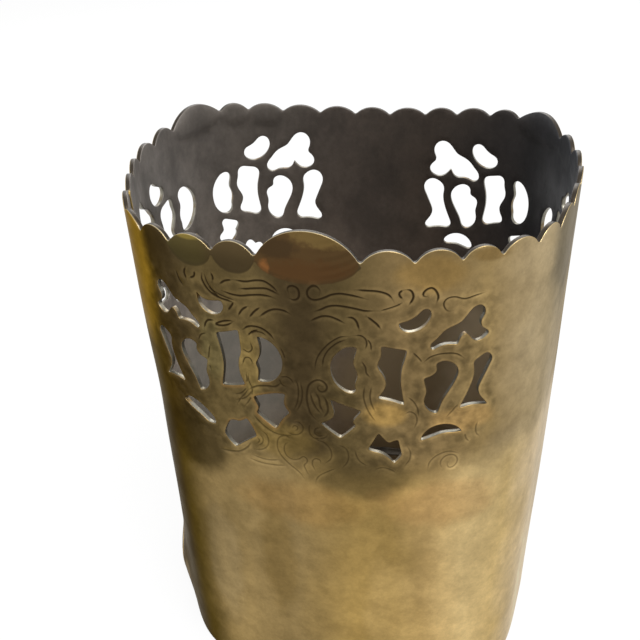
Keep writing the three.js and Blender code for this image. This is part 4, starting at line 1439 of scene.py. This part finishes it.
class HOLDER_OT_set_stage(bpy.types.Operator):
    """Set the floor, the light and the camera"""

    bl_idname = "holder.set_stage"
    bl_label = "Stage"

    def execute(self, context):
        scene = context.scene
        stage = scene.holder_stage
        self.lay_floor(stage)
        self.light_world(scene)
        for name, place, size, power in (
            ("key", (0.32, -0.30, 0.75), 0.35, 3.4),
            ("fill", (-0.55, -0.35, 0.4), 0.45, 0.5),
            ("back", (-0.1, 0.6, 0.5), 0.5, 1.6),
        ):
            self.hang_lamp(name, place, size, power)
        self.place_camera(scene, stage)
        scene.view_settings.view_transform = "Standard"
        return {"FINISHED"}

    def lay_floor(self, stage):
        half = stage.floor_width / 2
        mesh = bpy.data.meshes.new("pale_floor")
        mesh.from_pydata([(-half, -half, 0), (half, -half, 0), (half, half, 0), (-half, half, 0)],
                         [], [(0, 1, 2, 3)])
        floor = bpy.data.objects.new("pale_floor", mesh)
        bpy.context.scene.collection.objects.link(floor)
        s = Surface("Pale Floor", 0.0, 0.9)
        s.shader.inputs["Base Color"].default_value = (0.82, 0.82, 0.82, 1.0)
        s.shader.inputs["Specular IOR Level"].default_value = 0.0
        glow = s.node("Emission")
        seen = seen_directly(s.tree)
        share = s.node("MixShader")
        glow.inputs["Strength"].default_value = 1.06
        s.put(share.inputs[0], s.times(seen, 0.85))
        s.put(share.inputs[1], s.shader.outputs[0])
        s.put(share.inputs[2], glow.outputs[0])
        s.put(s.tree.nodes["Material Output"].inputs["Surface"], share.outputs[0])
        mesh.materials.append(s.material)

    def light_world(self, scene):
        world = bpy.data.worlds.new("White Studio")
        scene.world = world
        world.use_nodes = True
        tree = world.node_tree
        light = tree.nodes["Background"]
        light.inputs["Color"].default_value = (1.0, 1.0, 1.0, 1.0)
        strength = tree.nodes.new("ShaderNodeMapRange")
        strength.inputs["To Min"].default_value = 0.55
        strength.inputs["To Max"].default_value = 1.0
        tree.links.new(seen_directly(tree), strength.inputs["Value"])
        tree.links.new(strength.outputs[0], light.inputs["Strength"])

    def hang_lamp(self, name, place, size, power):
        data = bpy.data.lights.new(name, "AREA")
        data.size = size
        data.energy = power
        lamp = bpy.data.objects.new(name, data)
        bpy.context.scene.collection.objects.link(lamp)
        lamp.location = place
        aim = Vector((0, 0, 0.05)) - Vector(place)
        lamp.rotation_euler = aim.to_track_quat("-Z", "Y").to_euler()

    def place_camera(self, scene, stage):
        data = bpy.data.cameras.new("photograph")
        data.sensor_width = 36.0
        data.lens = stage.lens
        data.clip_start = 0.005
        data.clip_end = 20.0
        camera = bpy.data.objects.new("photograph", data)
        scene.collection.objects.link(camera)
        ahead = Vector((-math.sin(stage.turn), math.cos(stage.turn), 0))
        right = ahead.cross(Vector((0, 0, 1)))
        view = ahead * math.cos(stage.tilt) - Vector((0, 0, math.sin(stage.tilt)))
        down = view.cross(right)
        side = right * math.cos(stage.roll) - down * math.sin(stage.roll)
        up = -(right * math.sin(stage.roll) + down * math.cos(stage.roll))
        turned = Matrix((side, up, -view)).transposed()
        camera.matrix_world = Matrix.Translation(
            (stage.camera_x, stage.camera_y, stage.camera_z)) @ turned.to_4x4()
        scene.camera = camera


class HOLDER_PT_panel(bpy.types.Panel):
    """Sizes, colours and the steps that build the holder"""

    bl_label = "Cup Holder"
    bl_idname = "HOLDER_PT_panel"
    bl_space_type = "VIEW_3D"
    bl_region_type = "UI"
    bl_category = "Cup Holder"

    def draw(self, context):
        for step in OPERATORS:
            self.layout.operator(step.bl_idname)
        for name, (group, title) in GROUPS.items():
            box = self.layout.box()
            box.label(text=title)
            for entry in group.__annotations__:
                box.prop(getattr(context.scene, name), entry)


GROUPS = {
    "holder_plan": (PlanSizes, "Plan"),
    "holder_sheet": (SheetSizes, "Sheet"),
    "holder_floor": (FloorSizes, "Floor"),
    "holder_finishes": (Finishes, "Finishes"),
    "holder_stage": (StageSizes, "Stage"),
}
OPERATORS = (
    HOLDER_OT_set_stage,
    HOLDER_OT_build_sleeve,
    HOLDER_OT_build_seam,
    HOLDER_OT_build_floor,
)


def register():
    for name, (group, _) in GROUPS.items():
        bpy.utils.register_class(group)
        setattr(bpy.types.Scene, name, bpy.props.PointerProperty(type=group))
    for made in OPERATORS + (HOLDER_PT_panel,):
        bpy.utils.register_class(made)


def unregister():
    for made in (HOLDER_PT_panel,) + OPERATORS[::-1]:
        bpy.utils.unregister_class(made)
    for name, (group, _) in GROUPS.items():
        delattr(bpy.types.Scene, name)
        bpy.utils.unregister_class(group)


def main():
    register()
    bpy.ops.holder.set_stage()
    bpy.ops.holder.build_sleeve()
    bpy.ops.holder.build_seam()
    bpy.ops.holder.build_floor()


if __name__ == "__main__":
    main()
